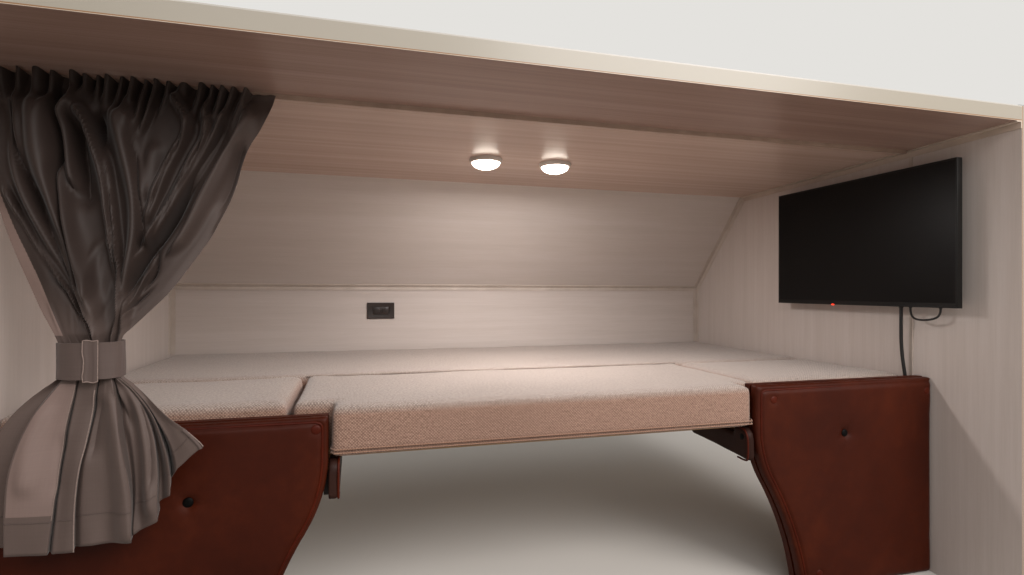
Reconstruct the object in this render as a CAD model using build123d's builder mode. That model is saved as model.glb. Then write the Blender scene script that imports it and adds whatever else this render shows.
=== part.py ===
from build123d import *
import math
import os

# The sleeping alcove over the cab of a motorhome: a hollow nose of laminated walls
# with a cushioned bunk, an upholstered bulkhead and a centre flap that folds forward.
# Millimetres. X is to the passenger side, Y is forward and Z is up. The origin is the
# middle of the four deck bolts, on the underside of the deck.

os.makedirs("parts", exist_ok=True)

# Nose and walls
inside_width = 2400.0
wall = 40.0
front_y = 674.0
joint_z = 425.0
slope_top_y = 312.0
slope_top_z = 833.0
roof_pitch = 0.0257
board_joint_y = -485.0
rear_y = -790.0
leg_front_y = -470.0
leg_bottom_z = -436.0
sill_radius = 30.0
brow_radius = 90.0
crown_radius = 140.0
leg_radius = 60.0

# Deck and its bolts to the cab roof
deck = 40.0
bolt_spacing_x = 1800.0
bolt_spacing_y = 850.0
bolt_hole = 9.0

# Bunk cushions and the folding flap
cushion = 112.0
cushion_edge = 16.0
seam_y = -50.0
seam_gap = 5.2
hinge_lift = 3.2
deck_lap = 30.0
flap_half = 628.0
flap_back_y = -470.0
flap_board = 18.0
board_round = 12.0
wall_play = 5.0
rest_play = 0.3
move_play = 5.0

# Upholstered bulkhead beside the way into the cab
bulkhead_y = -550.0
opening_left = 541.0
opening_right = 573.0
pad_top_left = 132.0
pad_top_right = 153.0
pad = 30.0
pad_round = 9.0
backing = 20.0
flare_start_z = 40.0
flare_knee_z = -122.0
flare_knee = 45.0
flare_foot = 155.0
cheek_pad = 22.0
cheek_board = 12.0
cheek_bevel = 5.0
cheek_end_y = -270.0
cheek_near_z = -56.0
cheek_far_z = -42.0
cheek_round = 30.0
cheek_button_from_near = 26.0
cheek_button_z = 8.0
button_radius = 10.5
button_rise = 4.0
dimple_radius = 19.0
dimple_depth = 6.0
dimple_play = 1.0
pad_overhang = 1.0
corner_button_left = (26.0, 26.0)
corner_button_right = (55.0, 41.0)
wall_button_from_wall = 22.0
wall_button_below_top = 41.0
foot_button_from_edge = 209.0
foot_button_rise = 50.0
dark_button_left = (277.0, 162.0)
dark_button_right = (302.0, 149.0)

# Mouldings and battens
moulding_leg = 19.0
moulding = 3.0
batten = 12.0
cap_leg = 52.0
cap_side_leg = 24.0
cap = 2.5
joint_strip_leg = 15.0
joint_strip = 4.0

# Ceiling lights
light_radius = 54.0
light_height = 33.0
rim_height = 13.0
lens_radius = 46.0
rim_taper = 4.0
light_y = -50.0
light_places = (-74.0, 167.0)

# Outlet on the front wall
outlet_x = -380.0
outlet_z = 321.0
outlet_width = 116.0
outlet_height = 70.0
outlet_plate = 6.0
device_width = 68.0
device_height = 34.0
plate_round = 6.0
plate_bevel = 2.0
device_round = 3.0
device_rise = 1.0

# Curtain on its ceiling track
track_height = 11.0
track_width = 14.0
track_half = 1172.0
curtain_hem_z = -62.0
fold_round = 26.0
neck_from_wall = 227.0
neck_y = -601.0
neck_width = 104.0
neck_depth = 62.0
neck_reach = 3.0
band = 4.0
band_play = 0.3
band_height = 71.0
band_bottom_z = 243.0

# Television on the passenger side wall
tv_reach = 62.0
tv_back_y = -670.0
tv_front_y = 20.0
tv_bottom_z = 365.0
tv_top_z = 790.0
tv_slab = 20.0
tv_bulge = 22.0
tv_rim = 6.0
tv_chin = 14.0
tv_screen = 2.0
screen_drop = 0.6
tv_corner = 5.0
bulge_rise = 8.0
bulge_drop = 150.0
bulge_margin = 50.0
bulge_round = 9.0
bracket_plate = 5.0
bracket_side = 220.0
bracket_corner = 12.0
bracket_drop = 40.0
bracket_rail = 34.0
rail_length = 200.0
rail_spacing = 160.0
lead_diameter = 10.0
loop_diameter = 6.0
boot_length = 12.0
grommet_rise = 6.0

# Marker lamps on the brow of the nose
lamp_length = 90.0
lamp_width = 30.0
lamp_rise = 18.0
lamp_bevel = 6.0
lamp_drop = 110.0
lamp_from_wall = 120.0
lamp_spacing = 180.0

# Worked out from the sizes above
on_seat = (Align.CENTER, Align.CENTER, Align.MIN)
half = inside_width / 2
cushion_top = deck + cushion
ledge_top = deck - flap_board - rest_play
hinge_z = cushion_top + hinge_lift
pad_back_y = bulkhead_y + pad
backing_back_y = pad_back_y + backing
ledge_half = flap_half + move_play
seam_front_y = seam_y + seam_gap / 2
seam_back_y = seam_y - seam_gap / 2
ledge_front_y = seam_y + move_play
deck_back_y = seam_y - deck_lap
tv_face_x = half - tv_reach


def ceiling_z(y):
    """Height of the ceiling's lower face."""
    return slope_top_z + (slope_top_y - y) * roof_pitch


def meet(a, b, c, d):
    """The point where the line a-b meets the line c-d."""
    ux, uy = b[0] - a[0], b[1] - a[1]
    vx, vy = d[0] - c[0], d[1] - c[1]
    t = ((c[0] - a[0]) * vy - (c[1] - a[1]) * vx) / (ux * vy - uy * vx)
    return (a[0] + t * ux, a[1] + t * uy)


def beside(points, distance):
    """An open line of (y, z) points moved sideways, to the left of its direction."""
    shifted = []
    for a, b in zip(points, points[1:]):
        length = math.dist(a, b)
        ny, nz = -(b[1] - a[1]) / length * distance, (b[0] - a[0]) / length * distance
        shifted.append(((a[0] + ny, a[1] + nz), (b[0] + ny, b[1] + nz)))
    corners = [meet(*one, *two) for one, two in zip(shifted, shifted[1:])]
    return [shifted[0][0], *corners, shifted[-1][1]]


# Inner line of the nose in (y, z), from the deck's underside up to the rear of the ceiling
inner_line = [
    (front_y, 0.0),
    (front_y, joint_z),
    (slope_top_y, slope_top_z),
    (rear_y, ceiling_z(rear_y)),
]


def to_rear(points):
    """The same line with its last point on the rear plane."""
    return [*points[:-1], meet(points[-2], points[-1], (rear_y, 0.0), (rear_y, 1.0))]


outer_line = to_rear(beside(inner_line, -wall))
brow_inner, brow_outer = inner_line[1], outer_line[1]
crown_inner, crown_outer = inner_line[2], outer_line[2]

# Each side: name, sign of x, half width of the cab opening, top of its padded panel
sides = (
    ("left", -1, opening_left, pad_top_left),
    ("right", 1, opening_right, pad_top_right),
)


def closed_section(points, radii=0.0):
    """A face in the sketch that is being drawn, with its corners rounded."""
    with BuildLine() as outline:
        if radii:
            FilletPolyline(*points, radius=radii, close=True)
        else:
            Polyline(*points, close=True)
    make_face(outline.edges())


def rectangle(x0, x1, y0, y1):
    """A rectangle in the sketch between two corners."""
    with Locations(((x0 + x1) / 2, (y0 + y1) / 2)):
        Rectangle(abs(x1 - x0), abs(y1 - y0))


def mitre(inner, outer):
    """The plane across the shell where two of its panels meet."""
    return Plane(
        origin=(0, *inner),
        x_dir=(1, 0, 0),
        z_dir=(0, inner[1] - outer[1], outer[0] - inner[0]),
    )


def ceiling_plane(x, y):
    """A seat on the ceiling whose Z points down into the room."""
    return Plane(origin=(x, y, ceiling_z(y)), x_dir=(1, 0, 0), z_dir=(0, -roof_pitch, -1))


def across(sign, near, far):
    """The YZ plane at the lesser x of a span that is mirrored for the left side."""
    return Plane.YZ.offset(min(sign * near, sign * far))


# Front wall, sloping brow and roof, mitred where they meet
shell_points = [*inner_line, *reversed(outer_line)]
shell_radii = [0, 0, 0, 0, 0, crown_radius, brow_radius, sill_radius]
brow_mitre = mitre(brow_inner, brow_outer)
crown_mitre = mitre(crown_inner, crown_outer)
board_joint = Plane.XZ.offset(-board_joint_y)

with BuildPart() as front_wall:
    with BuildSketch(Plane.YZ.offset(-half)):
        closed_section(shell_points, shell_radii)
    extrude(amount=inside_width)
    split(bisect_by=brow_mitre, keep=Keep.BOTTOM)
front_wall.part.label = "front_wall"
export_step(front_wall.part, "parts/front_wall.step")

with BuildPart() as slope_panel:
    with BuildSketch(Plane.YZ.offset(-half)):
        closed_section(shell_points, shell_radii)
    extrude(amount=inside_width)
    split(bisect_by=brow_mitre, keep=Keep.TOP)
    split(bisect_by=crown_mitre, keep=Keep.BOTTOM)
slope_panel.part.label = "slope_panel"
export_step(slope_panel.part, "parts/slope_panel.step")

with BuildPart() as roof_front:
    with BuildSketch(Plane.YZ.offset(-half)):
        closed_section(shell_points, shell_radii)
    extrude(amount=inside_width)
    split(bisect_by=crown_mitre, keep=Keep.TOP)
    split(bisect_by=board_joint, keep=Keep.BOTTOM)
roof_front.part.label = "roof_front"
export_step(roof_front.part, "parts/roof_front.step")

with BuildPart() as roof_rear:
    with BuildSketch(Plane.YZ.offset(-half)):
        closed_section(shell_points, shell_radii)
    extrude(amount=inside_width)
    split(bisect_by=board_joint, keep=Keep.TOP)
roof_rear.part.label = "roof_rear"
export_step(roof_rear.part, "parts/roof_rear.step")

# Side walls, with the leg that stands beside the cab door
wall_points = [
    *outer_line,
    (rear_y, leg_bottom_z),
    (leg_front_y, leg_bottom_z),
    (leg_front_y, 0.0),
]
wall_radii = [sill_radius, brow_radius, crown_radius, 0, 0, 0, leg_radius]
for side, sign, edge, pad_top in sides:
    with BuildPart() as side_wall:
        with BuildSketch(across(sign, half, half + wall)):
            closed_section(wall_points, wall_radii)
        extrude(amount=wall)
    side_wall.part.label = f"side_wall_{side}"
    export_step(side_wall.part, f"parts/side_wall_{side}.step")

# Corner caps that cover the joint of roof and side wall outside
cap_line = [(outer_line[0][0], sill_radius), *outer_line[1:]]
cap_top_line = to_rear(beside(cap_line, -cap))
cap_side_line = to_rear(beside(cap_line, cap_side_leg))
cap_radii = [0, brow_radius, crown_radius, 0, 0, crown_radius + cap, brow_radius + cap, 0]
cap_side_radii = [
    0,
    brow_radius,
    crown_radius,
    0,
    0,
    crown_radius - cap_side_leg,
    brow_radius - cap_side_leg,
    0,
]
wall_face = half + wall
with BuildPart() as corner_caps:
    for side, sign, edge, pad_top in sides:
        with BuildSketch(across(sign, wall_face + cap - cap_leg, wall_face + cap)):
            closed_section([*cap_line, *reversed(cap_top_line)], cap_radii)
        extrude(amount=cap_leg)
        with BuildSketch(across(sign, wall_face, wall_face + cap)):
            closed_section([*cap_line, *reversed(cap_side_line)], cap_side_radii)
        extrude(amount=cap)
corner_caps.part.label = "corner_caps"
export_step(corner_caps.part, "parts/corner_caps.step")

# Deck boards, rebated where the flap rests
with BuildPart() as deck_front:
    with BuildSketch():
        rectangle(-half, half, deck_back_y, front_y)
    extrude(amount=deck)
    with BuildSketch(Plane.XY.offset(ledge_top)):
        rectangle(-ledge_half, ledge_half, deck_back_y, ledge_front_y)
    extrude(amount=deck, mode=Mode.SUBTRACT)
    with Locations(*[(s * bolt_spacing_x / 2, bolt_spacing_y / 2, deck) for s in (-1, 1)]):
        Hole(radius=bolt_hole / 2)
deck_front.part.label = "deck_front"
export_step(deck_front.part, "parts/deck_front.step")

for side, sign, edge, pad_top in sides:
    with BuildPart() as deck_side:
        with BuildSketch():
            rectangle(sign * edge, sign * half, backing_back_y, deck_back_y)
        extrude(amount=deck)
        with BuildSketch(Plane.XY.offset(ledge_top)):
            rectangle(sign * edge, sign * ledge_half, backing_back_y, deck_back_y)
        extrude(amount=deck, mode=Mode.SUBTRACT)
        with Locations((sign * bolt_spacing_x / 2, -bolt_spacing_y / 2, deck)):
            Hole(radius=bolt_hole / 2)
    deck_side.part.label = f"deck_side_{side}"
    export_step(deck_side.part, f"parts/deck_side_{side}.step")

# Bunk cushions
with BuildPart() as cushion_front:
    with BuildSketch(Plane.XY.offset(deck)):
        rectangle(wall_play - half, half - wall_play, seam_front_y, front_y - wall_play)
    extrude(amount=cushion)
    fillet(cushion_front.edges().filter_by(Axis.Z).group_by(Axis.Y)[-1], cushion_edge)
    fillet(cushion_front.faces().sort_by(Axis.Z)[-1].edges().group_by(Axis.Y)[1:], cushion_edge)
cushion_front.part.label = "cushion_front"
export_step(cushion_front.part, "parts/cushion_front.step")

for side, sign, edge, pad_top in sides:
    with BuildPart() as cushion_wing:
        with BuildSketch(Plane.XY.offset(deck)):
            rectangle(sign * ledge_half, sign * (half - wall_play), flap_back_y, seam_back_y)
        extrude(amount=cushion)
        fillet(cushion_wing.edges().filter_by(Axis.Z), cushion_edge)
        fillet(cushion_wing.faces().sort_by(Axis.Z)[-1].edges(), cushion_edge)
    cushion_wing.part.label = f"cushion_wing_{side}"
    export_step(cushion_wing.part, f"parts/cushion_wing_{side}.step")

# Centre flap: a board with its cushion, notched round the bulkhead's padded panels
flap_outline = [
    (-flap_half, flap_back_y),
    (move_play - opening_left, flap_back_y),
    (move_play - opening_left, bulkhead_y),
    (opening_right - move_play, bulkhead_y),
    (opening_right - move_play, flap_back_y),
    (flap_half, flap_back_y),
    (flap_half, seam_back_y),
    (-flap_half, seam_back_y),
]
with BuildPart() as flap_board_part:
    with BuildSketch(Plane.XY.offset(deck - flap_board)):
        rectangle(-flap_half, flap_half, flap_back_y, seam_back_y)
    extrude(amount=flap_board)
    fillet(flap_board_part.edges().filter_by(Axis.Z), board_round)
flap_board_part.part.label = "flap_board"
export_step(flap_board_part.part, "parts/flap_board.step")

with BuildPart() as cushion_centre:
    with BuildSketch(Plane.XY.offset(deck)):
        closed_section(flap_outline)
    extrude(amount=cushion)
    fillet(cushion_centre.edges().filter_by(Axis.Z).group_by(Axis.Y)[0], cushion_edge)
    fillet(cushion_centre.faces().sort_by(Axis.Z)[-1].edges().group_by(Axis.Y)[:-1], cushion_edge)
cushion_centre.part.label = "cushion_centre"
export_step(cushion_centre.part, "parts/cushion_centre.step")

# Piped fabric hinge along the seam, on the flap's axis
welt_radius = math.hypot(seam_gap / 2, hinge_lift) - rest_play
with BuildPart() as hinge_welt:
    with BuildSketch(Plane.YZ.offset(-flap_half)):
        with Locations((seam_y, hinge_z)):
            Circle(welt_radius)
    extrude(amount=2 * flap_half)
hinge_welt.part.label = "hinge_welt"
export_step(hinge_welt.part, "parts/hinge_welt.step")


def bulkhead_outline(sign, edge, top, trim):
    """A bulkhead panel in XZ: wall, top and the edge that flares out below."""
    inner = sign * (edge + trim)
    outer = sign * (half - trim)
    knee = (sign * (edge + flare_knee + trim), flare_knee_z)
    foot = (sign * (edge + flare_foot + trim), leg_bottom_z + trim)
    with BuildLine() as outline:
        Polyline(
            foot,
            (outer, leg_bottom_z + trim),
            (outer, top - trim),
            (inner, top - trim),
            (inner, flare_start_z),
        )
        flare = TangentArc((inner, flare_start_z), knee, tangent=(0, -1))
        TangentArc(knee, foot, tangent=flare % 1)
    make_face(outline.edges())


# Padded bulkhead panels and their backing boards
corner_buttons = {"left": corner_button_left, "right": corner_button_right}
dark_button_places = {"left": dark_button_left, "right": dark_button_right}
covered_places = []
dark_places = []
for side, sign, edge, pad_top in sides:
    corner_in, corner_down = corner_buttons[side]
    covered_places += [
        (sign * (edge + corner_in), pad_top - corner_down),
        (sign * (half - wall_button_from_wall), pad_top - wall_button_below_top),
        (sign * (edge + foot_button_from_edge), leg_bottom_z + foot_button_rise),
    ]
    dark_in, dark_down = dark_button_places[side]
    dark_x = sign * (edge + dark_in)
    dark_z = pad_top - dark_down
    dark_places.append((dark_x, dark_z))

    with BuildPart() as backing_board:
        with BuildSketch(Plane.XZ.offset(-backing_back_y)):
            bulkhead_outline(sign, edge, pad_top, pad_overhang)
        extrude(amount=backing)
    backing_board.part.label = f"backing_board_{side}"
    export_step(backing_board.part, f"parts/backing_board_{side}.step")

    with BuildPart() as bulkhead_pad:
        with BuildSketch(Plane.XZ.offset(-pad_back_y)):
            bulkhead_outline(sign, edge, pad_top, 0.0)
        extrude(amount=pad)
        fillet(bulkhead_pad.faces().sort_by(Axis.Y)[0].edges(), pad_round)
        with Locations(Location((dark_x, bulkhead_y + dimple_depth / 2, dark_z), (90, 0, 0))):
            Cone(button_radius + dimple_play, dimple_radius, dimple_depth, mode=Mode.SUBTRACT)
    bulkhead_pad.part.label = f"bulkhead_pad_{side}"
    export_step(bulkhead_pad.part, f"parts/bulkhead_pad_{side}.step")

# The cheeks' side view in (y, z), stepped under the flap's board
cheek_near_y = bulkhead_y + move_play
cheek_step_y = flap_back_y - 2 * move_play
cheek_outline = [
    (cheek_near_y, deck - move_play),
    (cheek_step_y, deck - move_play),
    (cheek_step_y, ledge_top - move_play),
    (cheek_end_y, ledge_top - move_play),
    (cheek_end_y, cheek_far_z),
    (cheek_near_y, cheek_near_z),
]
cheek_radii = [cheek_round, pad_round, 0, pad_round, pad_round, pad_round]

# Buttons: covered ones on the pads' faces, dark ones down in their dimples and on the cheeks
with BuildPart() as covered_buttons:
    with BuildSketch(Plane.XZ.offset(-bulkhead_y)):
        with Locations(*covered_places):
            Circle(button_radius)
    extrude(amount=button_rise)
    chamfer(covered_buttons.faces().group_by(Axis.Y)[0].edges(), button_rise / 2, button_rise)
covered_buttons.part.label = "covered_buttons"
export_step(covered_buttons.part, "parts/covered_buttons.step")

with BuildPart() as dark_buttons:
    with BuildSketch(Plane.XZ.offset(-bulkhead_y - dimple_depth)):
        with Locations(*dark_places):
            Circle(button_radius)
    extrude(amount=button_rise)
    for side, sign, edge, pad_top in sides:
        inner_x = edge - cheek_pad
        with BuildSketch(across(sign, inner_x - button_rise, inner_x)):
            with Locations((cheek_near_y + cheek_button_from_near, cheek_button_z)):
                Circle(button_radius)
        extrude(amount=button_rise)
dark_buttons.part.label = "dark_buttons"
export_step(dark_buttons.part, "parts/dark_buttons.step")

# Upholstered cheeks along the way into the cab, on boards under the deck
for side, sign, edge, pad_top in sides:
    with BuildPart() as cheek:
        with BuildSketch(across(sign, edge - cheek_pad, edge)):
            closed_section(cheek_outline, cheek_radii)
        extrude(amount=cheek_pad)
        inner_face = cheek.faces().sort_by(Axis((0, 0, 0), (-sign, 0, 0)))[-1]
        chamfer(inner_face.edges(), cheek_bevel)
    cheek.part.label = f"cheek_pad_{side}"
    export_step(cheek.part, f"parts/cheek_pad_{side}.step")

cheek_board_outline = [
    (backing_back_y, 0.0),
    (cheek_end_y, 0.0),
    (cheek_end_y, cheek_far_z),
    (backing_back_y, cheek_near_z),
]
with BuildPart() as cheek_boards:
    for side, sign, edge, pad_top in sides:
        with BuildSketch(across(sign, edge, edge + cheek_board)):
            closed_section(cheek_board_outline)
        extrude(amount=cheek_board)
cheek_boards.part.label = "cheek_boards"
export_step(cheek_boards.part, "parts/cheek_boards.step")

# Mouldings in the inner corners, and battens over the wallboard joints
corner_line = [(front_y, cushion_top), *inner_line[1:]]
leg_line = to_rear(beside(corner_line, moulding_leg))
face_line = to_rear(beside(corner_line, moulding))
for side, sign, edge, pad_top in sides:
    for name, first, last in (("corner_moulding", 0, 3), ("ceiling_moulding", 2, 4)):
        seat = corner_line[first:last]
        with BuildPart() as corner_trim:
            with BuildSketch(across(sign, half - moulding, half)):
                closed_section([*seat, *reversed(leg_line[first:last])])
            extrude(amount=moulding)
            with BuildSketch(across(sign, half - moulding_leg, half)):
                closed_section([*seat, *reversed(face_line[first:last])])
            extrude(amount=moulding_leg)
        corner_trim.part.label = f"{name}_{side}"
        export_step(corner_trim.part, f"parts/{name}_{side}.step")

batten_top_z = ceiling_z(board_joint_y + batten / 2) - moulding_leg
with BuildPart() as wall_battens:
    for side, sign, edge, pad_top in sides:
        with BuildSketch(across(sign, half - moulding, half)):
            rectangle(board_joint_y - batten / 2, board_joint_y + batten / 2, deck, batten_top_z)
        extrude(amount=moulding)
wall_battens.part.label = "wall_battens"
export_step(wall_battens.part, "parts/wall_battens.step")

slope_run = math.dist(brow_inner, crown_inner)
joint_strip_line = [
    (front_y, joint_z - joint_strip_leg),
    brow_inner,
    (
        front_y + (slope_top_y - front_y) / slope_run * joint_strip_leg,
        joint_z + (slope_top_z - joint_z) / slope_run * joint_strip_leg,
    ),
]
with BuildPart() as joint_strip_part:
    with BuildSketch(Plane.YZ.offset(moulding_leg - half)):
        closed_section([*joint_strip_line, *reversed(beside(joint_strip_line, joint_strip))])
    extrude(amount=inside_width - 2 * moulding_leg)
joint_strip_part.part.label = "joint_strip"
export_step(joint_strip_part.part, "parts/joint_strip.step")

# Ceiling lights: a rim with a domed lens in it
dome_rise = light_height - rim_height
dome_radius = (lens_radius**2 + dome_rise**2) / (2 * dome_rise)
dome_edge_angle = 90.0 - math.degrees(math.asin(lens_radius / dome_radius))
light_seats = [Location(ceiling_plane(x, light_y)) for x in light_places]
with BuildPart() as light_rims:
    with Locations(*light_seats):
        Cone(light_radius, light_radius - rim_taper, rim_height, align=on_seat)
    with Locations(*light_seats):
        Cylinder(lens_radius + rest_play, rim_height, align=on_seat, mode=Mode.SUBTRACT)
light_rims.part.label = "light_rims"
export_step(light_rims.part, "parts/light_rims.step")

with BuildPart() as light_lenses:
    with Locations(*light_seats):
        Cylinder(lens_radius, rim_height, align=on_seat)
    with Locations(*[seat * Location((0, 0, rim_height)) for seat in light_seats]):
        Sphere(dome_radius, arc_size1=dome_edge_angle, align=on_seat)
light_lenses.part.label = "light_lenses"
export_step(light_lenses.part, "parts/light_lenses.step")

# Outlet on the front wall: a plate with its device set in it
with BuildPart() as outlet:
    with BuildSketch(Plane.XZ.offset(-front_y)):
        with Locations((outlet_x, outlet_z)):
            RectangleRounded(outlet_width, outlet_height, plate_round)
    extrude(amount=outlet_plate)
    chamfer(outlet.faces().sort_by(Axis.Y)[0].edges(), plate_bevel)
    with BuildSketch(Plane.XZ.offset(outlet_plate / 2 - front_y)):
        with Locations((outlet_x, outlet_z)):
            RectangleRounded(device_width, device_height, device_round)
    extrude(amount=outlet_plate, mode=Mode.SUBTRACT)
outlet.part.label = "outlet_plate"
export_step(outlet.part, "parts/outlet_plate.step")

with BuildPart() as outlet_device:
    with BuildSketch(Plane.XZ.offset(outlet_plate / 2 - front_y)):
        with Locations((outlet_x, outlet_z)):
            RectangleRounded(
                device_width - 2 * rest_play,
                device_height - 2 * rest_play,
                device_round,
            )
    extrude(amount=outlet_plate / 2 + device_rise)
outlet_device.part.label = "outlet_device"
export_step(outlet_device.part, "parts/outlet_device.step")

# Curtain track under the ceiling's board joint
with BuildPart(ceiling_plane(0.0, board_joint_y)) as curtain_track:
    Box(2 * track_half, track_width, track_height, align=on_seat)
    fillet(curtain_track.edges().filter_by(Axis.X).group_by(Axis.Z)[0], 2.0)
curtain_track.part.label = "curtain_track"
export_step(curtain_track.part, "parts/curtain_track.step")

# Curtain, gathered into its tie-band
# Sections: middle's distance from the left wall, middle y, width, depth, height z
curtain_top_z = ceiling_z(board_joint_y) - track_height - rest_play
neck_top_z = band_bottom_z + band_height + neck_reach
neck_bottom_z = band_bottom_z - neck_reach
curtain_sections = (
    (282.0, board_joint_y - 2.0, 520.0, 56.0, curtain_top_z),
    (260.0, board_joint_y - 35.0, 440.0, 90.0, 600.0),
    (245.0, board_joint_y - 90.0, 250.0, 90.0, 420.0),
    (neck_from_wall, neck_y, neck_width, neck_depth, neck_top_z),
    (neck_from_wall, neck_y, neck_width, neck_depth, neck_bottom_z),
    (255.0, neck_y - 4.0, 300.0, 84.0, 130.0),
    (215.0, neck_y - 4.0, 260.0, 84.0, curtain_hem_z),
)
with BuildPart() as curtain:
    for from_wall, y, width, depth, z in curtain_sections:
        with BuildSketch(Plane.XY.offset(z)):
            with Locations((from_wall - half, y)):
                RectangleRounded(width, depth, fold_round)
    loft(ruled=True)
curtain.part.label = "curtain"
export_step(curtain.part, "parts/curtain.step")

with BuildPart() as tie_band:
    with BuildSketch(Plane.XY.offset(band_bottom_z)):
        with Locations((neck_from_wall - half, neck_y)):
            for grown, mode in ((band_play + band, Mode.ADD), (band_play, Mode.SUBTRACT)):
                RectangleRounded(
                    neck_width + 2 * grown,
                    neck_depth + 2 * grown,
                    fold_round + grown,
                    mode=mode,
                )
    extrude(amount=band_height)
tie_band.part.label = "tie_band"
export_step(tie_band.part, "parts/tie_band.step")

# Television, its wall bracket and leads
tv_y = (tv_back_y + tv_front_y) / 2
tv_z = (tv_bottom_z + tv_top_z) / 2
tv_length = tv_front_y - tv_back_y
tv_height = tv_top_z - tv_bottom_z
bulge_bottom_z = tv_bottom_z + bulge_rise
bulge_top_z = tv_top_z - bulge_drop
bulge_back_x = tv_face_x + tv_slab + tv_bulge
with BuildPart() as tv_housing:
    with BuildSketch(Plane.YZ.offset(tv_face_x)):
        with Locations((tv_y, tv_z)):
            RectangleRounded(tv_length, tv_height, tv_corner)
    extrude(amount=tv_slab)
    with BuildSketch(Plane.YZ.offset(tv_face_x + tv_slab)):
        rectangle(
            tv_back_y + bulge_margin, tv_front_y - bulge_margin, bulge_bottom_z, bulge_top_z
        )
    extrude(amount=tv_bulge)
    fillet(tv_housing.faces().sort_by(Axis.X)[-1].edges(), bulge_round)
    with BuildSketch(Plane.YZ.offset(tv_face_x)):
        rectangle(tv_back_y + tv_rim, tv_front_y - tv_rim, tv_bottom_z + tv_chin, tv_top_z - tv_rim)
    extrude(amount=tv_screen, mode=Mode.SUBTRACT)
tv_housing.part.label = "tv_housing"
export_step(tv_housing.part, "parts/tv_housing.step")

with BuildPart() as tv_screen_part:
    with BuildSketch(Plane.YZ.offset(tv_face_x + screen_drop)):
        rectangle(tv_back_y + tv_rim, tv_front_y - tv_rim, tv_bottom_z + tv_chin, tv_top_z - tv_rim)
    extrude(amount=tv_screen - screen_drop)
tv_screen_part.part.label = "tv_screen"
export_step(tv_screen_part.part, "parts/tv_screen.step")

with BuildPart() as tv_bracket:
    with BuildSketch(Plane.YZ.offset(half - bracket_plate)):
        with Locations((tv_y, tv_z - bracket_drop)):
            RectangleRounded(bracket_side, bracket_side, bracket_corner)
    extrude(amount=bracket_plate)
    with BuildSketch(Plane.YZ.offset(bulge_back_x)):
        with Locations((tv_y, tv_z - bracket_drop)):
            with GridLocations(rail_spacing, 0, 2, 1):
                Rectangle(bracket_rail, rail_length)
    extrude(amount=half - bracket_plate - bulge_back_x)
tv_bracket.part.label = "tv_bracket"
export_step(tv_bracket.part, "parts/tv_bracket.step")

# The television's leads: one down to the deck, one a slack loop between two sockets
def free_radii(points):
    """The largest arc that each corner's shorter run allows."""
    radii = []
    for a, b, c in zip(points, points[1:], points[2:]):
        before, after = Vector(*b) - Vector(*a), Vector(*c) - Vector(*b)
        turn = math.radians(before.get_angle(after))
        radii.append(0.45 * min(before.length, after.length) / math.tan(turn / 2))
    return radii


boot_bottom_z = bulge_bottom_z - boot_length
grommet_top_z = deck + grommet_rise
# Routes: distance from the wall, y, height z
lead_points = (
    (33.0, -478.0, boot_bottom_z),
    (33.0, -478.0, 332.0),
    (28.0, -474.0, 236.0),
    (19.0, -479.0, 150.0),
    (13.0, -485.0, 90.0),
    (13.0, -485.0, grommet_top_z),
)
loop_points = (
    (33.0, -509.0, boot_bottom_z),
    (33.0, -509.0, 338.0),
    (38.0, -534.0, 325.0),
    (38.0, -580.0, 328.0),
    (33.0, -602.0, 342.0),
    (33.0, -602.0, boot_bottom_z),
)
lead_route = [(half - from_wall, y, z) for from_wall, y, z in lead_points]
loop_route = [(half - from_wall, y, z) for from_wall, y, z in loop_points]
leads = (("tv_lead", lead_route, lead_diameter), ("tv_loop", loop_route, loop_diameter))
for name, route, diameter in leads:
    radii = free_radii(route)
    print(name, "radii", [round(r, 1) for r in radii])
    with BuildPart() as lead:
        with BuildLine() as lead_path:
            FilletPolyline(*route, radius=radii)
        with BuildSketch(Plane(origin=route[0], z_dir=(0, 0, -1))):
            Circle(diameter / 2)
        sweep(path=lead_path.wire())
    straight_volume = math.pi * diameter**2 / 4 * lead_path.wire().length
    print(name, "volume over section times length", round(lead.part.volume / straight_volume, 4))
    lead.part.label = name
    export_step(lead.part, f"parts/{name}.step")

# Boots: x, y, radius at the top, radius at the bottom, bottom z, top z
boot_table = (
    (*lead_route[0][:2], 8.0, lead_diameter / 2 + 1.0, boot_bottom_z, bulge_bottom_z),
    (*loop_route[0][:2], 6.0, loop_diameter / 2 + 1.0, boot_bottom_z, bulge_bottom_z),
    (*loop_route[-1][:2], 6.0, loop_diameter / 2 + 1.0, boot_bottom_z, bulge_bottom_z),
    (*lead_route[-1][:2], lead_diameter / 2 + 1.0, 10.0, deck, grommet_top_z),
)
with BuildPart() as cable_boots:
    for x, y, top_radius, bottom_radius, bottom_z, top_z in boot_table:
        with Locations((x, y, (bottom_z + top_z) / 2)):
            Cone(bottom_radius, top_radius, top_z - bottom_z)
cable_boots.part.label = "cable_boots"
export_step(cable_boots.part, "parts/cable_boots.step")

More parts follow.
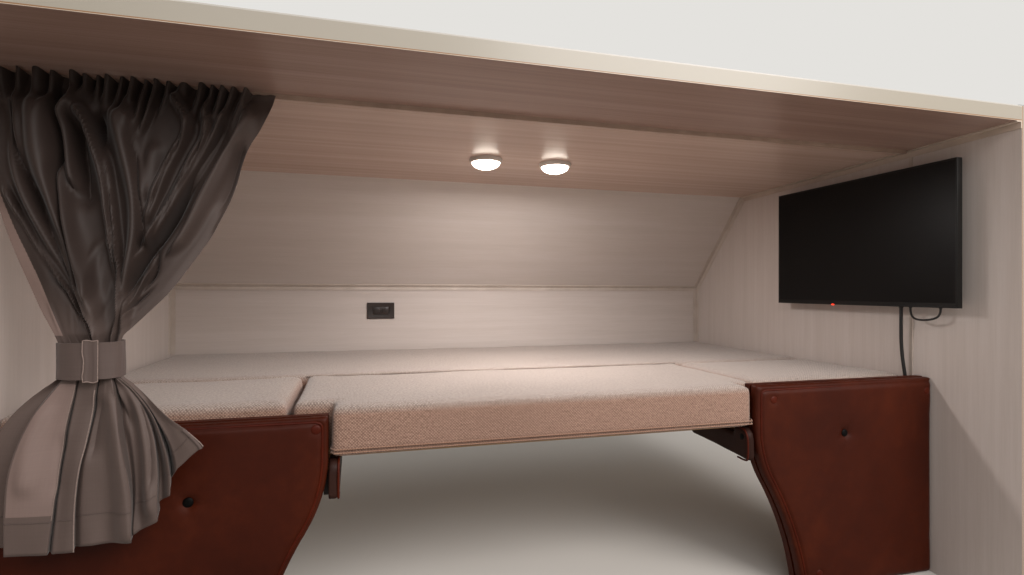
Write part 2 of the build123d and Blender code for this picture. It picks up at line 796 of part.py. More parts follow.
# Marker lamps on the brow
slope_y, slope_z = crown_outer[0] - brow_outer[0], crown_outer[1] - brow_outer[1]
slope_length = math.hypot(slope_y, slope_z)
lamp_share = 1 - (lamp_drop + crown_radius / 2) / slope_length
lamp_seat_y = brow_outer[0] + slope_y * lamp_share
lamp_seat_z = brow_outer[1] + slope_z * lamp_share
outer_lamp_x = half - lamp_from_wall
with BuildPart() as marker_lamps:
    for lamp_x in (-outer_lamp_x, -lamp_spacing, 0.0, lamp_spacing, outer_lamp_x):
        seat = Plane(
            origin=(lamp_x, lamp_seat_y, lamp_seat_z),
            x_dir=(1, 0, 0),
            z_dir=(0, slope_z, -slope_y),
        )
        with BuildSketch(seat):
            SlotOverall(lamp_length, lamp_width)
        extrude(amount=lamp_rise)
    lamp_fronts = marker_lamps.faces().group_by(Axis((0, 0, 0), (0, slope_z, -slope_y)))[-1]
    chamfer(lamp_fronts.edges(), lamp_bevel)
marker_lamps.part.label = "marker_lamps"
export_step(marker_lamps.part, "parts/marker_lamps.step")
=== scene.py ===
import math
from functools import lru_cache, partial
import bpy
from mathutils import Matrix, Vector, noise
from mathutils.kdtree import KDTree


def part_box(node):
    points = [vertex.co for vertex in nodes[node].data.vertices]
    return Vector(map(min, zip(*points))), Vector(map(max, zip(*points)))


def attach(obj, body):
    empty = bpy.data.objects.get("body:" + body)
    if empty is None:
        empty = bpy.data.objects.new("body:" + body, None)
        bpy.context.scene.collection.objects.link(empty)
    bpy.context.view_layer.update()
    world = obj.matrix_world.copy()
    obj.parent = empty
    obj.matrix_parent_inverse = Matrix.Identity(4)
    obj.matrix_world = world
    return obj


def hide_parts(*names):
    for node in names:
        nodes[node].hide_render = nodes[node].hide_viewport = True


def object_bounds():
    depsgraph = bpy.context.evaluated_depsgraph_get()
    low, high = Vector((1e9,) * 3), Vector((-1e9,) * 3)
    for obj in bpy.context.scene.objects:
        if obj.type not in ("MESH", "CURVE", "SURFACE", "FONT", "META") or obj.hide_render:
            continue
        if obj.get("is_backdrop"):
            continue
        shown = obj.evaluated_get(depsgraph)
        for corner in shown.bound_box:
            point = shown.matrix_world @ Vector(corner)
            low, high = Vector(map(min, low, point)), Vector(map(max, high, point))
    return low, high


# The finish of a motorhome's over-cab alcove: printed wallboards, woven bunk cushions,
# vinyl bulkhead panels, a gathered curtain, lights and a television. Metres.
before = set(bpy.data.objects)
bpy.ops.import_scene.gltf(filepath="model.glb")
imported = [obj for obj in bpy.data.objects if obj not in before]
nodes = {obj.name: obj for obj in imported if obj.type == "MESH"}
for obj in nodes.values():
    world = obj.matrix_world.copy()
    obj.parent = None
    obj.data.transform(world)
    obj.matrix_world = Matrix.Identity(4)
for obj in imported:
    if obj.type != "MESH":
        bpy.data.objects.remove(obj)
cad_low, cad_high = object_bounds()

# The shell's inside: half its width, where the front wall meets the slope, where the slope
# meets the ceiling, the ceiling's fall per metre, and how thick the walls are
HALF = 1.200
BROW_Y, BROW_Z = 0.674, 0.425
CROWN_Y, CROWN_Z = 0.312, 0.833
CEILING_PITCH = 0.0257
WALL = 0.040


def ceiling_z(y):
    """Height of the ceiling board's lower face."""
    return CROWN_Z + (CROWN_Y - y) * CEILING_PITCH


# ---- Small helpers ----
def fresh():
    """Leaves nothing selected and no piece in edit mode."""
    if bpy.context.object and bpy.context.object.mode != "OBJECT":
        bpy.ops.object.mode_set(mode="OBJECT")
    bpy.ops.object.select_all(action="DESELECT")


def take(piece):
    """Makes one piece the selected and active one."""
    fresh()
    piece.select_set(True)
    bpy.context.view_layer.objects.active = piece


def linked(name, data):
    """A new object of the scene that holds this data."""
    piece = bpy.data.objects.new(name, data)
    bpy.context.scene.collection.objects.link(piece)
    return piece


def apply_place(piece):
    """Moves a piece's place into its mesh."""
    take(piece)
    bpy.ops.object.transform_apply(location=True, rotation=True, scale=True)
    return piece


def apply_modifier(piece, kind, **settings):
    """Adds a modifier with its settings and applies it."""
    take(piece)
    modifier = piece.modifiers.new(kind.lower(), kind)
    for name, value in settings.items():
        setattr(modifier, name, value)
    bpy.ops.object.modifier_apply(modifier=modifier.name)
    return piece


def block(name, low, high):
    """A box primitive between two corners, to be shaped further."""
    fresh()
    centre = [(a + b) / 2 for a, b in zip(low, high)]
    bpy.ops.mesh.primitive_cube_add(size=1.0, location=centre)
    piece = bpy.context.object
    piece.name = name
    piece.scale = [b - a for a, b in zip(low, high)]
    return apply_place(piece)


def pick(piece, kind, wanted):
    """In edit mode, selects the faces or edges that a test wants."""
    take(piece)
    bpy.ops.object.mode_set(mode="EDIT")
    bpy.ops.mesh.select_mode(type=kind)
    bpy.ops.mesh.select_all(action="DESELECT")
    bpy.ops.object.mode_set(mode="OBJECT")
    items = {"FACE": piece.data.polygons, "EDGE": piece.data.edges}[kind]
    for item in items:
        item.select = bool(wanted(item))
    bpy.ops.object.mode_set(mode="EDIT")


def open_whole(piece):
    """Opens one piece in edit mode with all of it selected."""
    take(piece)
    bpy.ops.object.mode_set(mode="EDIT")
    bpy.ops.mesh.select_mode(type="VERT")
    bpy.ops.mesh.select_all(action="SELECT")


def done():
    """Leaves edit mode."""
    bpy.ops.object.mode_set(mode="OBJECT")


def edge_middle(piece, edge):
    """Middle point of an edge."""
    a, b = (piece.data.vertices[i].co for i in edge.vertices)
    return (a + b) / 2


def shade(piece, angle=40):
    """Smooth shading that keeps edges sharper than the angle."""
    take(piece)
    bpy.ops.object.shade_smooth_by_angle(angle=math.radians(angle))
    return piece


def soften(piece, width, segments=3):
    """Rounds a rigid piece's edges and shades it."""
    apply_modifier(
        piece, "BEVEL", width=width, segments=segments, limit_method="ANGLE",
        angle_limit=math.radians(30), harden_normals=False,
    )
    return shade(piece)


def mend(doubles):
    """In edit mode, merges a whole mesh's doubles and turns its faces outwards."""
    bpy.ops.mesh.select_all(action="SELECT")
    bpy.ops.mesh.remove_doubles(threshold=doubles)
    bpy.ops.mesh.normals_make_consistent(inside=False)


def join(name, pieces):
    """Joins pieces into one."""
    fresh()
    for piece in pieces:
        piece.select_set(True)
    bpy.context.view_layer.objects.active = pieces[0]
    bpy.ops.object.join()
    pieces[0].name = name
    return pieces[0]


def copies(piece, places):
    """A finished piece and its copies, each with its own mesh, one at each place."""
    pieces = [piece] + [linked(piece.name, piece.data.copy()) for _ in places[1:]]
    for twin, place in zip(pieces, places):
        twin.data.transform(place)
    return pieces


def put(piece, material, body="root", replaces=()):
    """Gives a piece its material and its body, and hides the CAD nodes that it stands for."""
    piece.data.materials.clear()
    piece.data.materials.append(material)
    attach(piece, body)
    if replaces:
        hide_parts(*replaces)
    return piece


def dress(finishes):
    """Gives CAD nodes that keep their shape their materials."""
    for node_name, material in finishes:
        nodes[node_name].data.materials.clear()
        nodes[node_name].data.materials.append(material)


def lathe(name, profile, steps=64):
    """Spins a profile of (radius, height) points round the vertical axis."""
    fresh()
    bpy.ops.mesh.primitive_plane_add(size=0.01)
    piece = bpy.context.object
    piece.name = name
    open_whole(piece)
    bpy.ops.mesh.merge(type="CENTER")
    radius, height = profile[0]
    bpy.ops.transform.translate(value=(radius, 0.0, height))
    for after_radius, after_height in profile[1:]:
        step = (after_radius - radius, 0.0, after_height - height)
        bpy.ops.mesh.extrude_vertices_move(TRANSFORM_OT_translate={"value": step})
        radius, height = after_radius, after_height
    bpy.ops.mesh.select_all(action="SELECT")
    bpy.ops.mesh.spin(
        steps=steps, angle=2 * math.pi, center=(0, 0, 0), axis=(0, 0, 1), use_normal_flip=False,
    )
    mend(0.00001)
    done()
    return shade(piece)


def round_curve(name, points, radius, resolution, kind="POLY", cyclic=False):
    """A round bar along points, still a curve."""
    curve = bpy.data.curves.new(name, "CURVE")
    curve.dimensions = "3D"
    curve.bevel_depth = radius
    curve.bevel_resolution = resolution
    spline = curve.splines.new(kind)
    spline.points.add(len(points) - 1)
    for point, place in zip(spline.points, points):
        point.co = (*place, 1.0)
    if kind == "NURBS":
        spline.order_u = 3
        spline.use_endpoint_u = not cyclic
    spline.use_cyclic_u = cyclic
    return linked(name, curve)


def tube(name, points, radius, resolution=4, kind="POLY", cyclic=False):
    """A round bar along points, capped, as a mesh."""
    bar = round_curve(name, points, radius, resolution, kind, cyclic)
    bar.data.use_fill_caps = True
    take(bar)
    bpy.ops.object.convert(target="MESH")
    return shade(bpy.context.object)


def bell(height, reach, away):
    """A rounded rise or hollow that fades within a reach."""
    return height * math.exp(-((away / reach) ** 2))


# ---- Camera at the photograph's place: yaw, pitch and roll of a level room view ----
YAW, PITCH, ROLL = math.radians(-15.48), math.radians(90.23), math.radians(0.165)
camera_data = bpy.data.cameras.new("room_camera")
camera_data.sensor_width = 36.0
camera_data.lens = 19.71
camera_data.clip_end = 100.0
camera = linked("room_camera", camera_data)
camera.matrix_world = (
    Matrix.Translation((-0.482, -1.850, 0.414))
    @ Matrix.Rotation(YAW, 4, "Z")
    @ Matrix.Rotation(PITCH, 4, "X")
    @ Matrix.Rotation(ROLL, 4, "Z")
)
bpy.context.scene.camera = camera
bpy.context.scene.view_settings.view_transform = "Standard"


# ---- Materials ----
MM = 0.001


def colour(code):
    """A linear colour from its sRGB hex code."""
    parts = [int(code[i : i + 2], 16) / 255 for i in (0, 2, 4)]
    linear = [c / 12.92 if c <= 0.04045 else ((c + 0.055) / 1.055) ** 2.4 for c in parts]
    return (*linear, 1.0)


def node(material, kind, inputs=None, stops=(), **settings):
    """Adds a shader node with its settings. An input is a value, the socket that feeds it,
    or the node whose first output feeds it."""
    made = material.node_tree.nodes.new("ShaderNode" + kind)
    for name, value in settings.items():
        setattr(made, name, value)
    if stops:
        elements = made.color_ramp.elements
        while len(elements) < len(stops):
            elements.new(1.0)
        for element, (place, code) in zip(elements, stops):
            element.position = place
            element.color = colour(code)
    for name, value in (inputs or {}).items():
        if isinstance(value, bpy.types.Node):
            value = value.outputs[0]
        if isinstance(value, bpy.types.NodeSocket):
            material.node_tree.links.new(value, made.inputs[name])
        else:
            made.inputs[name].default_value = value
    return made


def new_finish(name):
    """An empty material, the call that adds a node to it, and its texture coordinates."""
    material = bpy.data.materials.new(name)
    material.use_nodes = True
    material.node_tree.nodes.clear()
    add = partial(node, material)
    return material, add, add("TexCoord")


def close_finish(material, inputs):
    """Ends a material in its surface shader."""
    node(material, "OutputMaterial", {"Surface": node(material, "BsdfPrincipled", inputs)})
    return material


# Laminated wall: a printed wallboard on luan, foam, and a gelcoat skin outside
WALL_LAYERS = ((0.0, "c9b9a8"), (0.02, "8f6c4c"), (0.08, "a39c8f"), (0.93, "bdb9b1"))


def laminate(name, outward, inside, streak, stops, depth_mm=0.05, rough=0.5):
    """A wall by its outward normal and a point of its inside face. The streak is the print's
    scale per metre along x, y and z, low along its grain."""
    material, add, coords = new_finish(name)
    place = coords.outputs["Object"]
    grain_space = add("Mapping", {"Vector": place, "Scale": streak})
    grain = add(
        "TexNoise", {"Vector": grain_space, "Scale": 1.0, "Detail": 5.0, "Roughness": 0.65},
    )
    broad = add("TexNoise", {"Vector": grain_space, "Scale": 0.13, "Detail": 2.0})
    cloud = add("TexNoise", {"Vector": place, "Scale": 1.3, "Detail": 2.0})
    mixed = add("Math", {0: grain, 1: broad}, operation="ADD")
    shifted = add("Math", {0: cloud, 1: 0.35, 2: mixed}, operation="MULTIPLY_ADD")
    level = add("MapRange", {"Value": shifted, "From Min": 0.72, "From Max": 1.62})
    print_face = add("ValToRGB", {"Fac": level}, stops=stops)

    offset = outward.dot(inside)
    depth = add("VectorMath", {0: place, 1: tuple(outward)}, operation="DOT_PRODUCT")
    share = add(
        "MapRange",
        {"Value": depth.outputs["Value"], "From Min": offset, "From Max": offset + WALL},
    )
    layers = add("ValToRGB", {"Fac": share}, stops=WALL_LAYERS)
    layers.color_ramp.interpolation = "CONSTANT"
    turn = add(
        "VectorMath", {0: coords.outputs["Normal"], 1: tuple(outward)}, operation="DOT_PRODUCT",
    )
    facing = turn.outputs["Value"]
    is_inside = add("Math", {0: facing, 1: -0.5}, operation="LESS_THAN")
    is_outside = add("Math", {0: facing, 1: 0.25}, operation="GREATER_THAN")
    drift = add("TexNoise", {"Vector": place, "Scale": 0.9, "Detail": 4.0})
    skin = add("ValToRGB", {"Fac": drift}, stops=((0.3, "dddad2"), (0.7, "efede6")))
    edge_or_face = add("Mix", {0: is_inside, 6: layers, 7: print_face}, data_type="RGBA")
    base = add("Mix", {0: is_outside, 6: edge_or_face.outputs[2], 7: skin}, data_type="RGBA")
    peel = add("TexNoise", {"Vector": place, "Scale": 260.0, "Detail": 2.0})
    relief = add("Mix", {0: is_outside, 2: grain, 3: peel}, data_type="FLOAT")
    return close_finish(material, {
        "Base Color": base.outputs[2],
        "Roughness": add("MapRange", {"Value": is_outside, "To Min": rough, "To Max": 0.24}),
        "Normal": add("Bump", {"Height": relief, "Distance": depth_mm * MM, "Strength": 1.0}),
        "Specular IOR Level": 0.4,
    })


LINEN = ((0.0, "c3b8b0"), (0.5, "cbc0b9"), (1.0, "d2c8c2"))
LINEN_SLOPE = ((0.0, "ccc2ba"), (0.5, "d3c9c2"), (1.0, "d9d0cb"))
OAK_PRINT = ((0.0, "b39a8c"), (0.5, "c4aa9c"), (1.0, "d3baad"))
# The rear ceiling board: the same oak print, painted darker as shade that falls on it
OAK_PRINT_REAR = ((0.0, "8b7064"), (0.5, "9b7f73"), (1.0, "a98e83"))
forwards, rightwards = Vector((0.0, 1.0, 0.0)), Vector((1.0, 0.0, 0.0))
slope_up = Vector((0.0, CROWN_Z - BROW_Z, BROW_Y - CROWN_Y)).normalized()
roof_up = Vector((0.0, CEILING_PITCH, 1.0)).normalized()
brow, crown = Vector((0.0, BROW_Y, BROW_Z)), Vector((0.0, CROWN_Y, CROWN_Z))
# Vinyl-faced wallboards: streaks 4 mm wide and some 120 mm long, drawn as coarse as they show.
# Ceiling boards printed as fine oak: grain 3 mm wide and some 400 mm long, satin
dress([(node_name, laminate(*wall)) for node_name, *wall in (
    ("front_wall", "linen_wallboard_front", forwards, brow, (7, 7, 240), LINEN),
    ("slope_panel", "linen_wallboard_slope", slope_up, brow, (7, 170, 170), LINEN_SLOPE),
    ("side_wall_left", "linen_wallboard_left",
     -rightwards, -rightwards * HALF, (7, 240, 7), LINEN),
    ("side_wall_right", "linen_wallboard_right",
     rightwards, rightwards * HALF, (7, 240, 7), LINEN),
    ("roof_front", "oak_print_ceiling_front",
     roof_up, crown, (2.2, 300, 7), OAK_PRINT, 0.04, 0.27),
    # The rear board's print is painted darker as shade
    ("roof_rear", "oak_print_ceiling_rear",
     roof_up, crown, (2.2, 300, 7), OAK_PRINT_REAR, 0.04, 0.27),
)])


def plain(name, code, other, scale, rough, bump_mm=0.02, **fixed):
    """A moulded, rolled or coated finish: two near tones in a cloud, and a fine relief."""
    material, add, coords = new_finish(name)
    place = coords.outputs["Object"]
    cloud = add("TexNoise", {"Vector": place, "Scale": scale, "Detail": 6.0, "Roughness": 0.6})
    fine = add("TexNoise", {"Vector": place, "Scale": scale * 9, "Detail": 3.0})
    return close_finish(material, {
        "Base Color": add("ValToRGB", {"Fac": cloud}, stops=((0.3, code), (0.7, other))),
        "Roughness": add(
            "MapRange", {"Value": cloud, "To Min": rough - 0.08, "To Max": rough + 0.08},
        ),
        "Normal": add("Bump", {"Height": fine, "Distance": bump_mm * MM, "Strength": 1.0}),
        **fixed,
    })


def lit(name, scale, stops, strength):
    """A translucent moulding lit from inside, cloudy at so many clouds a metre."""
    material, add, coords = new_finish(name)
    cloud = add("TexNoise", {"Vector": coords.outputs["Object"], "Scale": scale})
    tone = add("ValToRGB", {"Fac": cloud}, stops=stops)
    return close_finish(material, {
        "Base Color": tone,
        "Roughness": 0.3,
        "Emission Color": tone,
        "Emission Strength": strength,
    })


# PVC wall mouldings: extruded, a satin cream
pvc_trim = plain("pvc_trim_cream", "bdb0a5", "cdc1b7", 14.0, 0.42)
# PVC ceiling trim in the tone of the oak print
pvc_ceiling_trim = plain("pvc_trim_ceiling", "b7a698", "c9b9ab", 12.0, 0.4)
# Powder-coated aluminium track: pale, with a soft sheen
track_coat = plain("powder_coat_track", "a58c7c", "b79d8c", 20.0, 0.36)
# Injection-moulded ABS for the television: near black, fine spark-eroded grain
abs_black = plain(
    "abs_black_grained", "060505", "0c0b0a", 60.0, 0.42, 0.04, **{"Specular IOR Level": 0.3},
)
# Anti-glare panel: black glass film with a soft wide reflection
panel_glass = plain(
    "anti_glare_panel", "050404", "070606", 7.0, 0.36, 0.004, **{"Specular IOR Level": 0.17},
)
# Powder-coated pressed steel bracket: black, slightly rough
steel_black = plain("steel_powder_black", "141313", "1d1b1a", 90.0, 0.5, 0.05)
# Urea moulded device: dark brown, polished, with handling marks
urea_brown = plain("urea_brown_moulded", "241915", "2f221d", 30.0, 0.32, 0.015)
# PVC jacket: matt black with a slight bloom
pvc_jacket = plain("pvc_jacket_black", "100e0e", "1a1716", 40.0, 0.48, 0.03)
# Anodised aluminium corner extrusions: satin
anodised = plain("anodised_aluminium", "b9babb", "cfd0d0", 40.0, 0.32, 0.02, Metallic=1.0)
# Moulded nylon buttons: dark, slightly glossy
nylon_dark = plain(
    "nylon_button_dark", "040303", "070605", 120.0, 0.5, **{"Specular IOR Level": 0.1},
)
# Tempered hardboard under the cheeks: dark and fibrous
dark_board = plain("hardboard_dark", "1d1613", "2b211c", 35.0, 0.7, 0.08)
# Spun polyester overlock thread: pale, matt, with the needle's rhythm in its tone
overlock_thread = plain("overlock_thread_pale", "7c6b64", "95837b", 320.0, 0.8, 0.2)
# Pearl ABS of the lights' rims: satin with a clear coat
pearl = plain("abs_pearl", "cbbfb6", "dcd2ca", 18.0, 0.3, 0.01, **{"Coat Weight": 0.3})
# Opal polycarbonate of the lights, and the television's red lamp
opal = lit("opal_polycarbonate_lit", 60.0, ((0.2, "fff0dd"), (0.8, "fff8ee")), 8.0)
red_lamp = lit("standby_lamp_red", 90.0, ((0.3, "c01208"), (0.7, "ff3a20")), 6.0)


# Plywood: birch face with long grain, plies on its cut edges 3 mm thick
def plywood(name):
    """A sheet that lies flat, with its face's grain along x."""
    material, add, coords = new_finish(name)
    place = coords.outputs["Object"]
    space = add("Mapping", {"Vector": place, "Scale": (1.6, 46.0, 2.0)})
    grain = add("TexNoise", {
        "Vector": space, "Scale": 1.0, "Detail": 7.0, "Roughness": 0.6, "Distortion": 0.6,
    })
    face = add(
        "ValToRGB", {"Fac": grain}, stops=((0.25, "9a7650"), (0.5, "b08c62"), (0.78, "c2a177")),
    )
    height = add("SeparateXYZ", {"Vector": place}).outputs["Z"]
    plies = add("Math", {0: height, 1: 0.0062}, operation="MODULO")
    ply = add("Math", {0: plies, 1: 0.0031}, operation="GREATER_THAN")
    edge = add("ValToRGB", {"Fac": ply}, stops=((0.0, "7d5c3d"), (1.0, "b39067")))
    upward = add("SeparateXYZ", {"Vector": coords.outputs["Normal"]}).outputs["Z"]
    flat = add("Math", {0: upward}, operation="ABSOLUTE")
    on_face = add("Math", {0: flat, 1: 0.5}, operation="GREATER_THAN")
    base = add("Mix", {0: on_face, 6: edge, 7: face}, data_type="RGBA")
    return close_finish(material, {
        "Base Color": base.outputs[2],
        "Roughness": 0.62,
        "Normal": add("Bump", {"Height": grain, "Distance": 0.12 * MM, "Strength": 1.0}),
    })


deck_ply = plywood("birch_plywood")


# Woven upholstery: a heathered oatmeal tweed in a 5 mm broken twill, the real 2 mm yarn
# drawn coarser so that it shows
def tweed(name, dark, middle, light, cell_mm):
    """A cloth on the piece's UV map in metres, painted darker down the sides as shade."""
    material, add, coords = new_finish(name)
    fabric = coords.outputs["UV"]
    cells = 1000.0 / cell_mm
    diagonal = add("Mapping", {
        "Vector": fabric, "Scale": (cells, cells, 1.0), "Rotation": (0, 0, math.radians(45)),
    })
    twill, crossed = (
        add("TexWave", {
            "Vector": diagonal, "Scale": 0.32, "Distortion": 0.6, "Detail": 1.0,
            "Detail Scale": 2.0,
        }, wave_type="BANDS", bands_direction=axis).outputs["Fac"]
        for axis in "XY"
    )
    weave = add("Math", {0: twill, 1: crossed}, operation="MULTIPLY")
    flecks = add(
        "TexNoise", {"Vector": fabric, "Scale": cells * 0.8, "Detail": 2.0, "Roughness": 0.7},
    )
    slub_space = add("Mapping", {"Vector": fabric, "Scale": (22.0, 190.0, 1.0)})
    slubs = add("TexNoise", {"Vector": slub_space, "Scale": 1.0, "Detail": 3.0})
    cloud = add("TexNoise", {"Vector": coords.outputs["Object"], "Scale": 2.2, "Detail": 2.0})
    heather = add("Math", {0: slubs, 1: 0.22, 2: flecks}, operation="MULTIPLY_ADD")
    toned = add("Math", {0: weave, 1: 0.52, 2: heather}, operation="MULTIPLY_ADD")
    clouded = add("Math", {0: cloud, 1: 0.25, 2: toned}, operation="MULTIPLY_ADD")
    level = add("MapRange", {"Value": clouded, "From Min": 0.52, "From Max": 1.14})
    top = add("ValToRGB", {"Fac": level}, stops=((0.0, dark), (0.5, middle), (1.0, light)))
    # The boxing at the sides is the same cloth, painted darker below the top as shade
    height = add("SeparateXYZ", {"Vector": coords.outputs["Object"]}).outputs["Z"]
    upward = add("MapRange", {"Value": height, "From Min": 0.132, "From Max": 0.148})
    side = add(
        "Mix", {0: 1.0, 6: top, 7: colour("f6d9cb")}, data_type="RGBA", blend_type="MULTIPLY",
    )
    base = add("Mix", {0: upward, 6: side.outputs[2], 7: top}, data_type="RGBA")
    yarn = add("Math", {0: weave, 1: flecks}, operation="ADD")
    return close_finish(material, {
        "Base Color": base.outputs[2],
        "Roughness": 0.93,
        "Specular IOR Level": 0.2,
        "Sheen Weight": 0.25,
        "Sheen Roughness": 0.5,
        "Normal": add("Bump", {"Height": yarn, "Distance": 0.9 * MM, "Strength": 0.8}),
    })


bunk_tweed = tweed("woven_tweed_oatmeal", "786961", "9c8e85", "bbada4", 5.0)
welt_tweed = tweed("woven_tweed_welt", "7c6759", "a28e80", "bba899", 4.0)


# Upholstery vinyl: embossed leather grain in 2 mm cells, waxed and darker where it is pressed
def vinyl(name, dark, middle, light, rough=0.46):
    """A leathery cover in three tones from its hollows to its rubbed crests."""
    material, add, coords = new_finish(name)
    place = coords.outputs["Object"]
    pebble = add(
        "TexVoronoi", {"Vector": place, "Scale": 420.0, "Randomness": 0.9},
        feature="DISTANCE_TO_EDGE",
    )
    crease = add("TexNoise", {"Vector": place, "Scale": 55.0, "Detail": 6.0, "Roughness": 0.62})
    cloud = add("TexNoise", {"Vector": place, "Scale": 5.0, "Detail": 4.0, "Roughness": 0.6})
    level = add("Math", {0: crease, 1: 0.35, 2: cloud}, operation="MULTIPLY_ADD")
    spread = add("MapRange", {"Value": level, "From Min": 0.30, "From Max": 1.05})
    pores = add("MapRange", {"Value": pebble.outputs["Distance"], "From Max": 0.18})
    large = add("Bump", {"Height": crease, "Distance": 0.5 * MM, "Strength": 0.6})
    return close_finish(material, {
        "Base Color": add(
            "ValToRGB", {"Fac": spread}, stops=((0.0, dark), (0.5, middle), (1.0, light)),
        ),
        "Roughness": add(
            "MapRange", {"Value": crease, "To Min": rough - 0.07, "To Max": rough + 0.12},
        ),
        "Specular IOR Level": 0.14,
        "Normal": add("Bump", {
            "Height": pores, "Distance": 0.12 * MM, "Strength": 0.7, "Normal": large,
        }),
    })


saddle_vinyl = vinyl("upholstery_vinyl_saddle", "2f0d04", "3e1406", "501e0a")
cheek_vinyl = vinyl("upholstery_vinyl_umber", "22120e", "2d1914", "3a231b")
piping_vinyl = vinyl("upholstery_vinyl_piping", "330c03", "461305", "5d200b", 0.42)
# Vinyl-covered buttons, rubbed a little lighter
button_vinyl = vinyl("upholstery_vinyl_button", "350e04", "481507", "5c200c", 0.4)


# Cloth of the curtain: a twisted satin-back, taupe, with a faint lengthwise thread every 3 mm
def drapery(name, dark, light, rough, sheen, top_tint):
    """A cloth on the piece's UV map in metres, whose top is painted darker as shade."""
    material, add, coords = new_finish(name)
    fabric = coords.outputs["UV"]
    thread_space = add("Mapping", {"Vector": fabric, "Scale": (330.0, 14.0, 1.0)})
    threads = add("TexNoise", {"Vector": thread_space, "Scale": 1.0, "Detail": 3.0})
    cross_space = add("Mapping", {"Vector": fabric, "Scale": (12.0, 420.0, 1.0)})
    crossing = add("TexNoise", {"Vector": cross_space, "Scale": 1.0, "Detail": 2.0})
    cloud = add("TexNoise", {"Vector": fabric, "Scale": 5.0, "Detail": 3.0})
    woven = add("Math", {0: threads, 1: crossing}, operation="ADD")
    level = add("Math", {0: cloud, 1: 0.6, 2: woven}, operation="MULTIPLY_ADD")
    spread = add("MapRange", {"Value": level, "From Min": 0.3, "From Max": 2.3})
    cloth = add("ValToRGB", {"Fac": spread}, stops=((0.0, dark), (1.0, light)))
    # Painted shade darkens the top by a tint, and the skirt and, by half, the leading edge are
    # left lighter as painted light
    flat_place = add("SeparateXYZ", {"Vector": fabric})
    low_part = add(
        "MapRange", {"Value": flat_place.outputs["Y"], "From Min": -0.42, "From Max": -0.66},
    )
    edge_part = add("MapRange", {
        "Value": flat_place.outputs["X"], "From Min": 0.60, "From Max": 0.80, "To Max": 0.5,
    })
    faded = add("Math", {0: low_part, 1: edge_part}, operation="MAXIMUM")
    deep = add(
        "Mix", {0: 1.0, 6: cloth, 7: colour(top_tint)}, data_type="RGBA", blend_type="MULTIPLY",
    )
    base = add("Mix", {0: faded, 6: deep.outputs[2], 7: cloth}, data_type="RGBA")
    return close_finish(material, {
        "Base Color": base.outputs[2],
        "Roughness": rough,
        "Specular IOR Level": 0.35,
        "Sheen Weight": sheen,
        "Sheen Roughness": 0.35,
        "Normal": add("Bump", {"Height": woven, "Distance": 0.08 * MM, "Strength": 0.4}),
    })


# Each cloth's last colour is the painted shade tint of its top
taupe_cloth = drapery("curtain_satin_taupe", "584a45", "665751", 0.62, 0.14, "877d78")
lining_cloth = drapery("curtain_lining_sateen", "78655f", "87746d", 0.7, 0.12, "e6e2df")
band_cloth = drapery("curtain_band_taupe", "554743", "635550", 0.64, 0.16, "fbfaf9")

# Amber polycarbonate with moulded ribs every 4 mm, clear-coated
amber, add_amber, amber_coords = new_finish("polycarbonate_amber")
amber_place = amber_coords.outputs["Object"]
amber_ribs = add_amber("TexWave", {"Vector": amber_place, "Scale": 40.0}, bands_direction="X")
amber_cloud = add_amber("TexNoise", {"Vector": amber_place, "Scale": 30.0})
close_finish(amber, {
    "Base Color": add_amber(
        "ValToRGB", {"Fac": amber_cloud}, stops=((0.3, "d2640a"), (0.7, "f08a1c")),
    ),
    "Roughness": 0.16,
    "Transmission Weight": 0.25,
    "Coat Weight": 0.5,
    "Normal": add_amber("Bump", {"Height": amber_ribs, "Distance": 0.5 * MM, "Strength": 1.0}),
})


# ---- Floor, backdrop and light ----
fresh()
bpy.ops.mesh.primitive_plane_add(size=60.0, location=(0, 0, cad_low.z - 0.0015))
floor = bpy.context.object
floor.name = "studio_floor"
# Matt painted floor: pale, and it takes the object's shadow
floor_paint = new_finish("matt_floor")[0]
floor_matt = node(floor_paint, "BsdfDiffuse", {"Color": colour("c9c6c1"), "Roughness": 0.9})
node(floor_paint, "OutputMaterial", {"Surface": floor_matt})
floor.data.materials.append(floor_paint)
floor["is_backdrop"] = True

# The camera, mirrors and glass see a pale backdrop, and the rest is lit by a dimmer sky
world = bpy.data.worlds.new("soft_studio")
bpy.context.scene.world = world
world.use_nodes = True
world.node_tree.nodes.clear()
path = node(world, "LightPath")
through = node(
    world, "Math", {0: path.outputs["Is Camera Ray"], 1: path.outputs["Is Transmission Ray"]},
    operation="MAXIMUM",
)
shown = node(
    world, "Math", {0: through, 1: path.outputs["Is Glossy Ray"]}, operation="MAXIMUM",
)
sky = node(world, "Background", {"Color": colour("fffaf7"), "Strength": 0.40})
pale = node(world, "Background", {"Color": colour("e4e2de"), "Strength": 1.0})
backdrop = node(world, "MixShader", {0: shown, 1: sky, 2: pale})
node(world, "OutputWorld", {"Surface": backdrop})


def area_lamp(name, place, size, watts, tint):
    """A lamp with a soft face: a rectangle of two sizes, or a disk of one."""
    lamp = bpy.data.lights.new(name, "AREA")
    lamp.shape = "RECTANGLE" if len(size) == 2 else "DISK"
    lamp.size = size[0]
    if len(size) == 2:
        lamp.size_y = size[1]
    lamp.energy = watts
    lamp.color = colour(tint)[:3]
    piece = linked(name, lamp)
    piece.location = place
    return piece


# Soft boxes: name, place, aim, size, watts, colour
for name, place, aim, size, watts, tint in (
    ("key_softbox", (1.5, -3.1, 2.20), (0.0, 0.1, 0.20), (2.2, 1.6), 98.0, "fffaf6"),
    ("fill_softbox", (-0.6, -3.5, 2.20), (0.2, 0.0, 0.2), (2.4, 1.8), 24.0, "faf6f4"),
    ("nose_softbox", (2.2, 3.8, 2.4), (0.0, 0.3, 0.2), (2.4, 2.0), 60.0, "fbf7f2"),
):
    softbox = area_lamp(name, place, size, watts, tint)
    softbox.rotation_euler = (Vector(aim) - Vector(place)).to_track_quat("-Z", "Y").to_euler()


